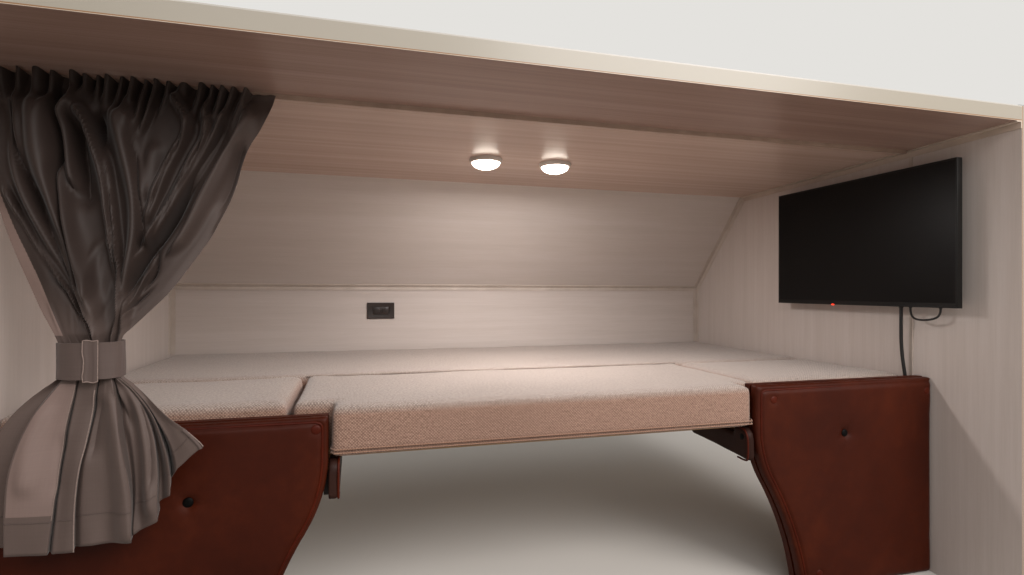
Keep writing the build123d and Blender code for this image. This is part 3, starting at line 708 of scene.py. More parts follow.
# ---- The television's leads ----
def lead(name, route, radius, node_name):
    """A lead as a round curve on its route, in place of its CAD node."""
    piece = round_curve(name, route, radius, 8, kind="NURBS")
    piece.data.resolution_u = 16
    put(piece, pvc_jacket, replaces=(node_name,))


lead("television_lead", (
    (1.167, -0.478, 0.361),
    (1.167, -0.478, 0.332),
    (1.172, -0.474, 0.236),
    (1.181, -0.479, 0.150),
    (1.187, -0.485, 0.090),
    (1.187, -0.485, 0.046),
), 0.005, "tv_lead")
lead("television_loop", (
    (1.167, -0.509, 0.361),
    (1.167, -0.509, 0.338),
    (1.162, -0.534, 0.325),
    (1.162, -0.580, 0.328),
    (1.167, -0.602, 0.342),
    (1.167, -0.602, 0.361),
), 0.003, "tv_loop")

# Ribbed boots: x, y, top z, bottom z, top radius, bottom radius
BOOT_RINGS, RIB_SHARE, RIB_DEPTH = 4, 0.62, 0.0007
boots = []
for x, y, top, bottom, wide, thin in (
    (1.167, -0.478, 0.373, 0.361, 0.0080, 0.0060),
    (1.167, -0.509, 0.373, 0.361, 0.0060, 0.0040),
    (1.167, -0.602, 0.373, 0.361, 0.0060, 0.0040),
    (1.187, -0.485, 0.046, 0.040, 0.0060, 0.0100),
):
    profile = [(0.0, top)]
    for i in range(BOOT_RINGS):
        share, after = i / BOOT_RINGS, (i + RIB_SHARE) / BOOT_RINGS
        profile.append((wide + (thin - wide) * share, top + (bottom - top) * share))
        profile.append((wide + (thin - wide) * after, top + (bottom - top) * after))
        notch = wide + (thin - wide) * after - RIB_DEPTH
        profile.append((notch, top + (bottom - top) * (after + 0.03)))
        profile.append((notch, top + (bottom - top) * (after + 0.06)))
    profile += [(thin, bottom), (0.0, bottom)]
    boot = lathe("boot", profile, steps=24)
    boot.data.transform(Matrix.Translation((x, y, 0.0)))
    boots.append(boot)
put(join("lead_boots", boots), pvc_jacket, replaces=("cable_boots",))


# ---- Soft pieces from their CAD solids ----
PRESSURE, FRAMES, STIFFNESS = 3.0, 14, 15.0


def soft_copy(node_name, name, voxel, shrink):
    """A remeshed copy of a soft CAD solid, a little under its size."""
    piece = linked(name, nodes[node_name].data.copy())
    open_whole(piece)
    bpy.ops.mesh.remove_doubles(threshold=0.00002)
    bpy.ops.transform.shrink_fatten(value=-shrink)
    done()
    return apply_modifier(piece, "REMESH", mode="VOXEL", voxel_size=voxel)


def swell(piece, cap):
    """Blows a soft piece up as cloth round its filling, no further than the cap."""
    take(piece)
    before = [v.co.copy() for v in piece.data.vertices]
    cloth = piece.modifiers.new("cloth", "CLOTH")
    cloth.settings.use_pressure = True
    cloth.settings.uniform_pressure_force = PRESSURE
    cloth.settings.effector_weights.gravity = 0.0
    cloth.settings.tension_stiffness = STIFFNESS
    cloth.settings.compression_stiffness = STIFFNESS
    cloth.settings.shear_stiffness = 5.0
    cloth.settings.bending_stiffness = 0.5
    cloth.collision_settings.use_collision = False
    for number in range(1, FRAMES + 1):
        bpy.context.scene.frame_set(number)
    take(piece)
    bpy.ops.object.modifier_apply(modifier="cloth")
    bpy.context.scene.frame_set(1)
    for vertex, rest in zip(piece.data.vertices, before):
        moved = vertex.co - rest
        if moved.length > cap:
            vertex.co = rest + moved * (cap / moved.length)


def cloth_map(piece):
    """A UV map in metres, so that a weave has its real size on every side."""
    if not piece.data.uv_layers:
        piece.data.uv_layers.new(name="weave")
    open_whole(piece)
    bpy.ops.uv.cube_project(cube_size=1.0, correct_aspect=False, scale_to_bounds=False)
    done()


def rumple(piece, size, depth):
    """Small hollows of a soft cover, along its normals."""
    normals = [v.normal.copy() for v in piece.data.vertices]
    for vertex, normal in zip(piece.data.vertices, normals):
        wave = noise.noise(vertex.co / size) + 0.4 * noise.noise(vertex.co / (size * 0.4))
        vertex.co += normal * wave * depth


# Two cushions bulge over their seams, in a zone along the seam. A crown rises freely by
# CROWN_FREE and then less and less, so that it stays under half the folded flap's gap
SIDE_BULGE, SEAM_BULGE, BULGE_ZONE, CLEARANCE = 0.0034, 0.0008, 0.02, 0.0002
CROWN_FREE, CROWN_EASE = 0.0012, 0.0013
# Bunk cushions: body, node, name, voxel, bulge to the left and towards the room
for body, node_name, name, voxel, to_left, towards_room in (
    ("root", "cushion_front", "bunk_cushion_front", 0.011, 0.0, SEAM_BULGE),
    ("flap", "cushion_centre", "bunk_cushion_centre", 0.009, 0.0, 0.0),
    ("root", "cushion_wing_left", "bunk_cushion_left", 0.009, 0.0, 0.0),
    ("root", "cushion_wing_right", "bunk_cushion_right", 0.009, SIDE_BULGE, 0.0),
):
    cushion = soft_copy(node_name, name, voxel, 0.0015)
    low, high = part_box(node_name)
    swell(cushion, 0.004)
    apply_modifier(cushion, "SMOOTH", factor=0.5, iterations=4)
    rumple(cushion, 0.16, 0.0018)
    for vertex in cushion.data.vertices:
        co = vertex.co
        if co.x < low.x + BULGE_ZONE:
            co.x -= to_left
        if co.y < low.y + BULGE_ZONE:
            co.y -= towards_room
        co.x = min(max(co.x, low.x - SIDE_BULGE), high.x - CLEARANCE)
        co.y = min(max(co.y, low.y - SEAM_BULGE), high.y - CLEARANCE)
        co.z = max(co.z, low.z)
        proud = co.z - high.z - CROWN_FREE
        if proud > 0:
            co.z = high.z + CROWN_FREE + CROWN_EASE * (1 - math.exp(-proud / CROWN_EASE))
    cloth_map(cushion)
    shade(cushion, 60)
    put(cushion, bunk_tweed, body, (node_name,))

# Double welt sewn along the centre cushion's lower edge
WELT_LINE = (
    (-0.536, -0.488), (-0.536, -0.535), (-0.527, -0.5495),
    (0.559, -0.5495), (0.568, -0.535), (0.568, -0.488),
)
for number, height in enumerate((0.050, 0.058)):
    welt = tube(f"centre_cushion_welt_{number}", [(x, y, height) for x, y in WELT_LINE], 0.0016)
    cloth_map(welt)
    put(welt, welt_tweed, "flap")

# Piped hinge along the seam
SEAM_HALF, SEAM_Y, SEAM_Z, SEAM_STEPS = 0.6279, -0.0500, 0.1502, 89
seam_points = []
for i in range(SEAM_STEPS + 1):
    x = -SEAM_HALF + 2 * SEAM_HALF * i / SEAM_STEPS
    sway = noise.noise(Vector((x * 9, 0.3, 0.0)))
    seam_points.append((x, SEAM_Y, SEAM_Z + 0.0013 * sway))
hinge = tube("hinge_piping", seam_points, 0.0040, resolution=3)
cloth_map(hinge)
put(hinge, bunk_tweed, "root", ("hinge_welt",))


# ---- Upholstered bulkhead ----
def tangent_arc(start, direction, end, count):
    """Points of an arc that leaves start in a direction and meets end, and its last direction."""
    dx, dz = end[0] - start[0], end[1] - start[1]
    nx, nz = -direction[1], direction[0]
    radius = (dx * dx + dz * dz) / (2 * (dx * nx + dz * nz))
    cx, cz = start[0] + nx * radius, start[1] + nz * radius
    first = math.atan2(start[1] - cz, start[0] - cx)
    last = math.atan2(end[1] - cz, end[0] - cx)
    turn = (last - first + math.pi) % (2 * math.pi) - math.pi
    points = []
    for i in range(1, count + 1):
        angle = first + turn * i / count
        points.append((cx + abs(radius) * math.cos(angle), cz + abs(radius) * math.sin(angle)))
    ahead = math.copysign(1, turn)
    return points, (-math.sin(last) * ahead, math.cos(last) * ahead)


def shifted(points, distance):
    """A line of (x, z) points moved sideways."""
    moved = []
    for i, point in enumerate(points):
        a, b = points[max(i - 1, 0)], points[min(i + 1, len(points) - 1)]
        length = math.hypot(b[0] - a[0], b[1] - a[1])
        moved.append((
            point[0] - (b[1] - a[1]) / length * distance,
            point[1] + (b[0] - a[0]) / length * distance,
        ))
    return moved


def search_tree(places):
    """A tree that finds the nearest of (x, z) places."""
    tree = KDTree(len(places))
    for i, (x, z) in enumerate(places):
        tree.insert((x, 0.0, z), i)
    tree.balance()
    return tree


def face_finder(piece, limit):
    """A tree of a panel's front points, looked up by x and z, and the points."""
    points = [vertex.co.copy() for vertex in piece.data.vertices if vertex.co.y < limit]
    return search_tree([(point.x, point.z) for point in points]), points


def face_y(finder, x, z):
    """Where a panel's front is at a place."""
    front, points = finder
    return sum(points[found[1]].y for found in front.find_n((x, 0.0, z), 4)) / 4


def dome_button(name, radius, rise):
    """A button whose flat back sits on the origin and whose dome looks upwards."""
    profile = [(0.0, rise)]
    for i in range(1, 9):
        angle = math.radians(90 * i / 8)
        profile.append((radius * math.sin(angle), rise * (0.25 + 0.75 * math.cos(angle))))
    profile += [(radius, 0.0), (radius * 0.6, -0.001), (0.0, -0.001)]
    return lathe(name, profile, steps=28)


def fill_outline(piece, low, high):
    """Stretches a rounded cover sideways and upwards to its node's outline."""
    for axis in (0, 2):
        values = [vertex.co[axis] for vertex in piece.data.vertices]
        first, last = min(values), max(values)
        scale = (high[axis] - low[axis]) / (last - first)
        for vertex in piece.data.vertices:
            vertex.co[axis] = low[axis] + (vertex.co[axis] - first) * scale


def pressed_in(side, x, z, away, buttons, dark):
    """How far a panel's cover goes in at a place: along its piping, at its buttons, and in
    slight ripples. Folds run out from the dark button, which is pulled the hardest."""
    depth = bell(0.0042, 0.0055, away)
    for button_x, button_z in buttons:
        depth += bell(0.0030, 0.013, math.hypot(x - button_x, z - button_z))
    near = math.hypot(x - dark[0], z - dark[1])
    angle = math.atan2(z - dark[1], x - dark[0])
    pull = 0.35 * math.cos(5 * angle + 1.0) * min(1.0, near / 0.030) ** 2
    depth += bell(0.0034, 0.034, near) * (1.0 + pull)
    ripple = noise.noise(Vector((x * 6, 3.0 * side, z * 4))) * 0.0011
    return depth + ripple + noise.noise(Vector((x * 22, 7.0, z * 9))) * 0.0004


# A panel's face reaches so deep, and its points are looked up in front of this y
FACE_DEPTH, FACE_LIMIT = 0.014, -0.534
# How far its cover stays inside its node's sides, and may pass its front and its top
SIDE_IN, FRONT_OUT, TOP_OUT = 0.0003, 0.004, 0.002
# How far a cheek's face lies inside the opening's edge
CHEEK_INSET = 0.0215
# The cheek's piping, as (y, z)
CHEEK_LINE = (
    (-0.500, -0.0530), (-0.536, -0.0560), (-0.5430, -0.0450), (-0.5430, 0.0000),
    (-0.5380, 0.0200), (-0.5230, 0.0325), (-0.5000, 0.0345),
)
to_room = Matrix.Rotation(math.radians(90), 4, "X")
covered_places, dark_places, cheek_places = [], [], []
# Each side: name, sign of x, half width of the cab opening, top of its panel, width of the
# roll outside its piping, its covered buttons and its dark one as (x, z)
for side, sign, edge, top, roll, buttons, dark in (
    ("left", -1, 0.541, 0.132, 0.013,
     ((-0.567, 0.106), (-1.178, 0.091), (-0.750, -0.386)), (-0.818, -0.030)),
    ("right", 1, 0.573, 0.153, 0.016,
     ((0.628, 0.112), (1.178, 0.112), (0.782, -0.386)), (0.875, 0.004)),
):
    # The panel's edge: down beside the opening, then in two arcs outwards to the foot
    knee = (sign * (edge + 0.045), -0.122)
    foot = (sign * (edge + 0.155), -0.436)
    first_arc, heading = tangent_arc((sign * edge, 0.040), (0.0, -1.0), knee, 10)
    second_arc = tangent_arc(knee, heading, foot, 22)[0]
    edge_line = [(sign * edge, top - 0.016), (sign * edge, 0.040), *first_arc, *second_arc]
    # The piping runs along the top, round the corner and down inside that edge
    line = [
        (sign * (HALF - 0.003), top - roll + 0.002),
        (sign * (edge + roll + 0.014), top - roll + 0.002),
        (sign * (edge + roll + 0.005), top - roll - 0.001),
        (sign * (edge + roll + 0.001), top - roll - 0.006),
        (sign * (edge + roll), top - roll - 0.016),
        *shifted(edge_line, roll * sign)[1:],
    ]
    samples = []
    for a, b in zip(line, line[1:]):
        count = max(1, int(math.dist(a, b) / 0.003))
        samples += [
            (a[0] + (b[0] - a[0]) * i / count, a[1] + (b[1] - a[1]) * i / count)
            for i in range(count)
        ]
    piping_tree = search_tree(samples)

    pad = soft_copy(f"bulkhead_pad_{side}", f"bulkhead_panel_{side}", 0.0068, 0.0006)
    swell(pad, 0.004)
    apply_modifier(pad, "SMOOTH", factor=0.5, iterations=1)
    apply_modifier(pad, "SUBSURF", levels=1, render_levels=1)
    low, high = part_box(f"bulkhead_pad_{side}")
    fill_outline(pad, low, high)
    for vertex in pad.data.vertices:
        co = vertex.co
        if co.y < low.y + FACE_DEPTH:
            away = piping_tree.find((co.x, 0.0, co.z))[2]
            co.y += pressed_in(sign, co.x, co.z, away, buttons, dark)
        co.x = min(max(co.x, low.x + SIDE_IN), high.x - SIDE_IN)
        co.y = max(min(co.y, high.y), low.y - FRONT_OUT)
        co.z = min(co.z, high.z + TOP_OUT)
    finder = face_finder(pad, FACE_LIMIT)
    covered_places += [(x, face_y(finder, x, z) + 0.0006, z) for x, z in buttons]
    dark_places.append((dark[0], face_y(finder, *dark) - 0.0012, dark[1]))
    shade(pad, 60)
    put(pad, saddle_vinyl, "root", (f"bulkhead_pad_{side}",))
    route = [(x, face_y(finder, x, z) + 0.0004, z) for x, z in line]
    piping = tube(f"bulkhead_piping_{side}", route, 0.0030)
    put(piping, piping_vinyl, "root")

    cheek = soft_copy(f"cheek_pad_{side}", f"cheek_panel_{side}", 0.0045, 0.0006)
    swell(cheek, 0.0025)
    apply_modifier(cheek, "SMOOTH", factor=0.5, iterations=2)
    low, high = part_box(f"cheek_pad_{side}")
    for vertex in cheek.data.vertices:
        co = vertex.co
        co.z = min(co.z, high.z)
        co.x = min(co.x, high.x) if sign > 0 else max(co.x, low.x)
    shade(cheek, 60)
    put(cheek, cheek_vinyl, "root", (f"cheek_pad_{side}",))
    cheek_x = sign * (edge - CHEEK_INSET)
    cheek_places.append(
        Matrix.Translation((cheek_x, -0.519, 0.008))
        @ Matrix.Rotation(math.radians(-90 * sign), 4, "Y")
    )
    outline = [(cheek_x, y, z) for y, z in CHEEK_LINE]
    cheek_piping = tube(f"cheek_piping_{side}", outline, 0.0026, kind="NURBS")
    put(cheek_piping, piping_vinyl, "root")

covered = copies(
    dome_button("covered", 0.0108, 0.0046),
    [Matrix.Translation(place) @ to_room for place in covered_places],
)
pressed = copies(
    dome_button("pressed", 0.0106, 0.0042),
    [Matrix.Translation(place) @ to_room for place in dark_places],
) + copies(dome_button("pressed_small", 0.0104, 0.0034), cheek_places)
put(
    join("panel_buttons_covered", covered), button_vinyl, "root",
    ("covered_buttons",),
)
put(join("panel_buttons_dark", pressed), nylon_dark, "root", ("dark_buttons",))

# ---- Curtain, gathered into its tie-band ----
# Pleats of the heading: x, how far each stands out, half its width
PLEATS = (
    (-1.156, 0.018, 0.009), (-1.128, 0.014, 0.008), (-1.096, 0.021, 0.011), (-1.071, 0.016, 0.008),
    (-1.034, 0.021, 0.009), (-1.014, 0.017, 0.008), (-0.993, 0.013, 0.006), (-0.974, 0.021, 0.009),
    (-0.952, 0.013, 0.006), (-0.931, 0.019, 0.008), (-0.905, 0.017, 0.007), (-0.885, 0.020, 0.008),
    (-0.864, 0.015, 0.007), (-0.839, 0.011, 0.012), (-0.803, 0.020, 0.009), (-0.781, 0.015, 0.007),
    (-0.760, 0.019, 0.008), (-0.741, 0.015, 0.007), (-0.716, 0.019, 0.008),
)
# Folds: how far a crest stands out or a crease goes in, its width to the left and to the right
# where the cloth is widest, and its line of (x, z) points downwards
FOLDS = {
    "body": (
        (0.046, 0.017, 0.015, (
            (-1.141, 0.812), (-1.132, 0.753), (-1.126, 0.683), (-1.109, 0.624), (-1.087, 0.572),
            (-1.058, 0.515), (-1.029, 0.465), (-0.996, 0.403), (-0.964, 0.339), (-0.952, 0.290),
        )),
        (0.025, 0.009, 0.006, (
            (-1.147, 0.624), (-1.130, 0.589), (-1.107, 0.552), (-1.071, 0.492), (-1.031, 0.430),
            (-0.992, 0.371), (-0.973, 0.333), (-0.962, 0.290),
        )),
        (-0.022, 0.006, 0.006, (
            (-1.132, 0.608), (-1.112, 0.564), (-1.077, 0.503), (-1.034, 0.428), (-0.993, 0.365),
            (-0.971, 0.328), (-0.960, 0.290),
        )),
        (0.050, 0.031, 0.028, (
            (-1.084, 0.811), (-1.087, 0.746), (-1.083, 0.686), (-1.070, 0.636), (-1.050, 0.583),
            (-1.031, 0.532), (-1.013, 0.489), (-0.991, 0.440), (-0.971, 0.388), (-0.957, 0.343),
            (-0.949, 0.290),
        )),
        (-0.054, 0.011, 0.013, (
            (-1.141, 0.806), (-1.137, 0.754), (-1.131, 0.703), (-1.114, 0.652), (-1.090, 0.598),
            (-1.066, 0.539), (-1.041, 0.486), (-1.013, 0.431), (-0.987, 0.376), (-0.967, 0.330),
            (-0.958, 0.290),
        )),
        (0.036, 0.011, 0.013, (
            (-1.023, 0.843), (-1.036, 0.797), (-1.050, 0.763), (-1.044, 0.727), (-1.035, 0.678),
            (-1.025, 0.630), (-1.006, 0.598),
        )),
        (-0.041, 0.006, 0.006, (
            (-1.060, 0.839), (-1.066, 0.792), (-1.058, 0.728), (-1.054, 0.680), (-1.059, 0.642),
            (-1.048, 0.588), (-1.037, 0.541), (-1.021, 0.495), (-1.007, 0.459), (-0.991, 0.407),
        )),
        (-0.036, 0.020, 0.020, (
            (-1.022, 0.770), (-1.023, 0.709), (-1.013, 0.653), (-1.007, 0.611), (-1.001, 0.569),
        )),
        (0.056, 0.017, 0.009, (
            (-1.029, 0.797), (-1.010, 0.756), (-0.990, 0.712), (-0.974, 0.662), (-0.962, 0.601),
            (-0.950, 0.541), (-0.937, 0.480), (-0.925, 0.421), (-0.924, 0.369), (-0.931, 0.327),
            (-0.934, 0.290),
        )),
        (-0.045, 0.006, 0.009, (
            (-0.994, 0.787), (-0.986, 0.727), (-0.977, 0.675), (-0.965, 0.618), (-0.952, 0.544),
            (-0.938, 0.472), (-0.929, 0.411), (-0.930, 0.360), (-0.937, 0.322), (-0.940, 0.290),
        )),
        (0.046, 0.020, 0.020, (
            (-0.957, 0.799), (-0.945, 0.748), (-0.933, 0.697), (-0.920, 0.635), (-0.909, 0.573),
            (-0.907, 0.512), (-0.912, 0.451), (-0.913, 0.392), (-0.917, 0.338), (-0.919, 0.290),
        )),
        (-0.032, 0.006, 0.006, (
            (-0.932, 0.735), (-0.921, 0.684), (-0.913, 0.631), (-0.904, 0.573), (-0.898, 0.522),
            (-0.904, 0.468),
        )),
        (0.022, 0.005, 0.005, ((-0.953, 0.841), (-0.943, 0.794), (-0.927, 0.734))),
        (0.022, 0.005, 0.005, ((-0.935, 0.847), (-0.930, 0.788), (-0.925, 0.734))),
        (0.022, 0.005, 0.005, ((-0.906, 0.850), (-0.914, 0.790), (-0.921, 0.730))),
        (0.022, 0.005, 0.006, (
            (-0.885, 0.852), (-0.894, 0.809), (-0.904, 0.765), (-0.917, 0.724),
        )),
        (0.017, 0.017, 0.017, (
            (-0.883, 0.725), (-0.891, 0.681), (-0.893, 0.628), (-0.894, 0.586),
        )),
        (0.044, 0.009, 0.011, (
            (-0.868, 0.850), (-0.852, 0.814), (-0.837, 0.785), (-0.827, 0.763), (-0.834, 0.732),
            (-0.848, 0.701), (-0.863, 0.666), (-0.876, 0.623), (-0.885, 0.583), (-0.890, 0.543),
        )),
        (-0.028, 0.006, 0.006, (
            (-0.831, 0.760), (-0.839, 0.720), (-0.853, 0.686), (-0.869, 0.646), (-0.880, 0.602),
            (-0.892, 0.552),
        )),
        (0.042, 0.011, 0.007, (
            (-0.798, 0.847), (-0.796, 0.804), (-0.790, 0.768), (-0.794, 0.733), (-0.809, 0.700),
            (-0.826, 0.660), (-0.843, 0.621), (-0.862, 0.580), (-0.879, 0.531), (-0.888, 0.488),
        )),
        (-0.028, 0.005, 0.005, (
            (-0.792, 0.761), (-0.801, 0.718), (-0.821, 0.670), (-0.837, 0.639), (-0.857, 0.597),
            (-0.877, 0.549), (-0.891, 0.506),
        )),
        (0.042, 0.013, 0.009, (
            (-0.757, 0.812), (-0.761, 0.779), (-0.775, 0.735), (-0.795, 0.690), (-0.818, 0.641),
            (-0.842, 0.589), (-0.865, 0.540), (-0.881, 0.492),
        )),
        (-0.050, 0.009, 0.009, (
            (-0.757, 0.782), (-0.770, 0.738), (-0.792, 0.692), (-0.812, 0.650), (-0.829, 0.601),
            (-0.846, 0.555), (-0.867, 0.513), (-0.890, 0.473), (-0.904, 0.432), (-0.914, 0.383),
        )),
        (0.038, 0.009, 0.020, (
            (-0.715, 0.841), (-0.718, 0.783), (-0.733, 0.738), (-0.756, 0.695), (-0.779, 0.644),
            (-0.798, 0.595), (-0.813, 0.552), (-0.831, 0.512), (-0.853, 0.474),
        )),
        (-0.018, 0.017, 0.017, (
            (-0.719, 0.741), (-0.732, 0.684), (-0.746, 0.628), (-0.766, 0.572),
        )),
        (0.014, 0.011, 0.011, (
            (-0.704, 0.810), (-0.711, 0.716), (-0.721, 0.649), (-0.737, 0.591), (-0.768, 0.521),
        )),
        (-0.036, 0.009, 0.006, (
            (-0.871, 0.494), (-0.872, 0.467), (-0.873, 0.440), (-0.889, 0.407),
        )),
        (0.019, 0.006, 0.006, (
            (-0.879, 0.464), (-0.890, 0.429), (-0.901, 0.394), (-0.908, 0.361),
        )),
        (-0.022, 0.005, 0.005, (
            (-0.865, 0.428), (-0.884, 0.401), (-0.903, 0.380), (-0.916, 0.356),
        )),
    ),
    "skirt": (
        (0.014, 0.029, 0.010, (
            (-0.922, 0.236), (-0.914, 0.177), (-0.907, 0.102), (-0.898, 0.017), (-0.886, -0.075),
        )),
        (-0.012, 0.017, 0.017, ((-0.945, 0.219), (-0.953, 0.158), (-0.958, 0.088))),
        (-0.014, 0.007, 0.007, ((-0.930, 0.230), (-0.913, 0.189), (-0.896, 0.140))),
        (0.012, 0.012, 0.010, (
            (-0.906, 0.231), (-0.888, 0.200), (-0.874, 0.156), (-0.864, 0.098), (-0.859, 0.032),
            (-0.855, -0.026),
        )),
        (-0.014, 0.007, 0.007, (
            (-0.908, 0.233), (-0.885, 0.197), (-0.868, 0.146), (-0.859, 0.094), (-0.857, 0.026),
        )),
        (0.010, 0.017, 0.017, ((-1.036, 0.211), (-1.051, 0.139), (-1.055, 0.031))),
        (-0.007, 0.014, 0.014, ((-1.006, 0.152), (-1.012, 0.024))),
    ),
}
# Folds of the skirt: share across, place in the band, how far back there, then x, y and z
# at the hem, and how soon the fold swings out to it
SKIRT = (
    (0.000, 0.00, 0.004, -1.142, -0.596, -0.064, 4.0),
    (0.055, 0.04, 0.012, -1.098, -0.600, -0.070, 3.8),
    (0.100, 0.13, -0.010, -1.086, -0.640, -0.068, 3.5),
    (0.185, 0.36, -0.020, -1.021, -0.642, -0.072, 1.2),
    (0.205, 0.34, -0.002, -1.027, -0.626, -0.072, 1.2),
    (0.230, 0.38, -0.015, -1.015, -0.640, -0.073, 1.3),
    (0.290, 0.68, -0.022, -0.978, -0.648, -0.070, 2.0),
    (0.312, 0.65, -0.001, -0.985, -0.628, -0.068, 2.0),
    (0.345, 0.70, -0.014, -0.972, -0.634, -0.066, 2.0),
    (0.430, 0.79, -0.018, -0.931, -0.628, -0.066, 1.9),
    (0.500, 0.90, -0.022, -0.885, -0.646, -0.061, 1.8),
    (0.530, 0.865, 0.010, -0.894, -0.608, -0.058, 2.2),
    (0.575, 0.90, -0.010, -0.884, -0.626, -0.052, 3.0),
    (0.630, 0.95, -0.018, -0.844, -0.644, -0.029, 3.8),
    (0.665, 0.93, 0.010, -0.854, -0.602, -0.012, 3.6),
    (0.710, 0.95, -0.006, -0.848, -0.620, 0.002, 3.2),
    (0.765, 0.975, -0.014, -0.826, -0.642, 0.017, 2.9),
    (0.805, 0.96, 0.008, -0.837, -0.602, 0.036, 2.5),
    (0.880, 0.99, -0.008, -0.815, -0.632, 0.066, 1.9),
    (1.000, 1.00, 0.004, -0.766, -0.642, 0.109, 1.15),
)
# Outline of the gathered body: height, left x, right x, middle y
BODY = (
    (0.8510, -1.166, -0.657, -0.5110),
    (0.8200, -1.166, -0.666, -0.5110),
    (0.7700, -1.168, -0.686, -0.5140),
    (0.7000, -1.170, -0.716, -0.5200),
    (0.6290, -1.170, -0.734, -0.5280),
    (0.5410, -1.140, -0.766, -0.5430),
    (0.4680, -1.107, -0.806, -0.5620),
    (0.4070, -1.076, -0.845, -0.5800),
    (0.3660, -1.054, -0.880, -0.5910),
    (0.3260, -1.031, -0.915, -0.6000),
)
# The folded-in end of the lining's tape shows through the cloth as a round-topped ridge
TAPE = (
    (-0.975, 0.400), (-0.979, 0.438), (-0.982, 0.466), (-0.981, 0.485), (-0.975, 0.497),
    (-0.966, 0.503), (-0.955, 0.505), (-0.944, 0.502), (-0.938, 0.492), (-0.936, 0.470),
)
TOP_LEFT, TOP_WIDTH = BODY[0][1], BODY[0][2] - BODY[0][1]
FOOT_Z, FOOT_LEFT, FOOT_WIDTH = BODY[-1][0], BODY[-1][1], BODY[-1][2] - BODY[-1][1]
NECK_TOP, NECK_BOTTOM = 0.318, 0.243
NECK_LEFT, NECK_WIDTH, NECK_Y = -1.0245, 0.1050, -0.6010
# Where the body and the neck end, as shares of the cloth's length
BODY_END, NECK_END = 0.60, 0.68
# The flat cloth's width and length
CLOTH_FLAT = (0.80, 0.96)
# How far a fold takes to rise and to run out, and how round its crest and its crease are
FADE, CREST_ROUND, CREASE_ROUND = 0.032, 2.3, 1.15
# How far the heading lies back between its pleats
HEADING_BACK = 0.009


def ease(value):
    """A smooth step from 0 to 1."""
    value = min(max(value, 0.0), 1.0)
    return value * value * (3 - 2 * value)


def wander(a, b, c):
    """A smooth random number at a place, between about -1 and 1."""
    return noise.noise(Vector((a, b, c)))


def rounded(table, index, part, column):
    """A table's value on a smooth line, a part of the way from one row to the next."""
    p, q, r, s = (
        table[min(max(index + step, 0), len(table) - 1)][column] for step in (-1, 0, 1, 2)
    )
    bend, turn = 2 * p - 5 * q + 4 * r - s, 3 * q - p - 3 * r + s
    return 0.5 * (2 * q + (r - p) * part + bend * part**2 + turn * part**3)


def body_row(share):
    """Outline values at a share of the way from the heading to the neck."""
    place = share * (len(BODY) - 1)
    index = min(int(place), len(BODY) - 2)
    return [rounded(BODY, index, place - index, column) for column in range(4)]


@lru_cache(maxsize=None)
def folds_at(part, z, spread):
    """The folds that cross a height: place, rise, width to the left and to the right."""
    crossing = []
    for rise, wide_left, wide_right, points in FOLDS[part]:
        first, last = points[0][1], points[-1][1]
        if last < z < first:
            index = next(i for i in range(len(points) - 1) if z >= points[i + 1][1])
            share = (points[index][1] - z) / (points[index][1] - points[index + 1][1])
            height = rise * ease((first - z) / FADE) * ease((z - last) / FADE)
            crossing.append((
                rounded(points, index, share, 0), height * (0.42 + 0.58 * spread),
                wide_left * spread, wide_right * spread,
            ))
    return crossing


def folded_out(part, x, z, spread):
    """How far folds put the cloth out at a place."""
    out = 0.0
    for place, height, wide_left, wide_right in folds_at(part, z, spread):
        away = (place - x) / wide_left if x < place else (x - place) / wide_right
        if away < 4:
            out += height * math.exp(-(away ** (CREST_ROUND if height > 0 else CREASE_ROUND)))
    return out


def along(table, across, column, shape=lambda part, rising: part):
    """A table's value at a share across the cloth."""
    for a, b in zip(table, table[1:]):
        if across <= b[0]:
            part = (across - a[0]) / (b[0] - a[0])
            return a[column] + (b[column] - a[column]) * shape(part, b[column] > a[column])
    return table[-1][column]


def fold_shape(part, rising):
    """A broad crest and a tight valley, as gathered cloth has."""
    if rising:
        return 0.6 * math.sin(math.pi / 2 * part) + 0.4 * ease(part)
    return 1 - 0.6 * math.sin(math.pi / 2 * (1 - part)) - 0.4 * ease(1 - part)


def heading_out(x):
    """How far the heading's pleats stand out at a place along the track."""
    out = -HEADING_BACK
    for pleat_x, rise, half_width in PLEATS:
        away = abs(x - pleat_x) / half_width
        if away < 1.5:
            proud = (rise + HEADING_BACK) * math.exp(-(away**3) * 1.3)
            out = max(out, proud - HEADING_BACK)
    return out


def tape_ridge(x, z):
    """How far the tape's end lifts the cloth at a place."""
    if not (-1.01 < x < -0.91 and 0.38 < z < 0.53):
        return 0.0
    nearest = 1.0
    for a, b in zip(TAPE, TAPE[1:]):
        run, rise = b[0] - a[0], b[1] - a[1]
        part = ((x - a[0]) * run + (z - a[1]) * rise) / (run * run + rise * rise)
        part = min(max(part, 0.0), 1.0)
        nearest = min(nearest, math.hypot(x - a[0] - part * run, z - a[1] - part * rise))
    return bell(0.0080, 0.0065, nearest)


def body_point(across, share):
    """A point of the body at a share of its length, and how far its folds put it out."""
    z, left, right, y = body_row(share)
    x = left + (right - left) * across
    fold = folded_out("body", x, z, (right - left) / TOP_WIDTH)
    fold *= 1 - 0.38 * ease((share - 0.86) / 0.14)
    fold += 0.010 * math.sin(math.pi * across) + tape_ridge(x, z)
    # The heading's pleats open into the folds, here sooner and there later
    start = 0.04 + 0.03 * wander(across * 15, 7.1, 3.3)
    opened = ease((share - start) / (0.20 + 0.13 * wander(across * 9, 2.2, 0.4)))
    out = heading_out(TOP_LEFT + TOP_WIDTH * across) * (1 - opened) + fold * opened
    lift = 0.20 * (out + HEADING_BACK) - 0.005 + 0.006 * wander(across * 24, 4.0, 1.0)
    return x, y, z + lift * (1 - ease(share / 0.07)), out


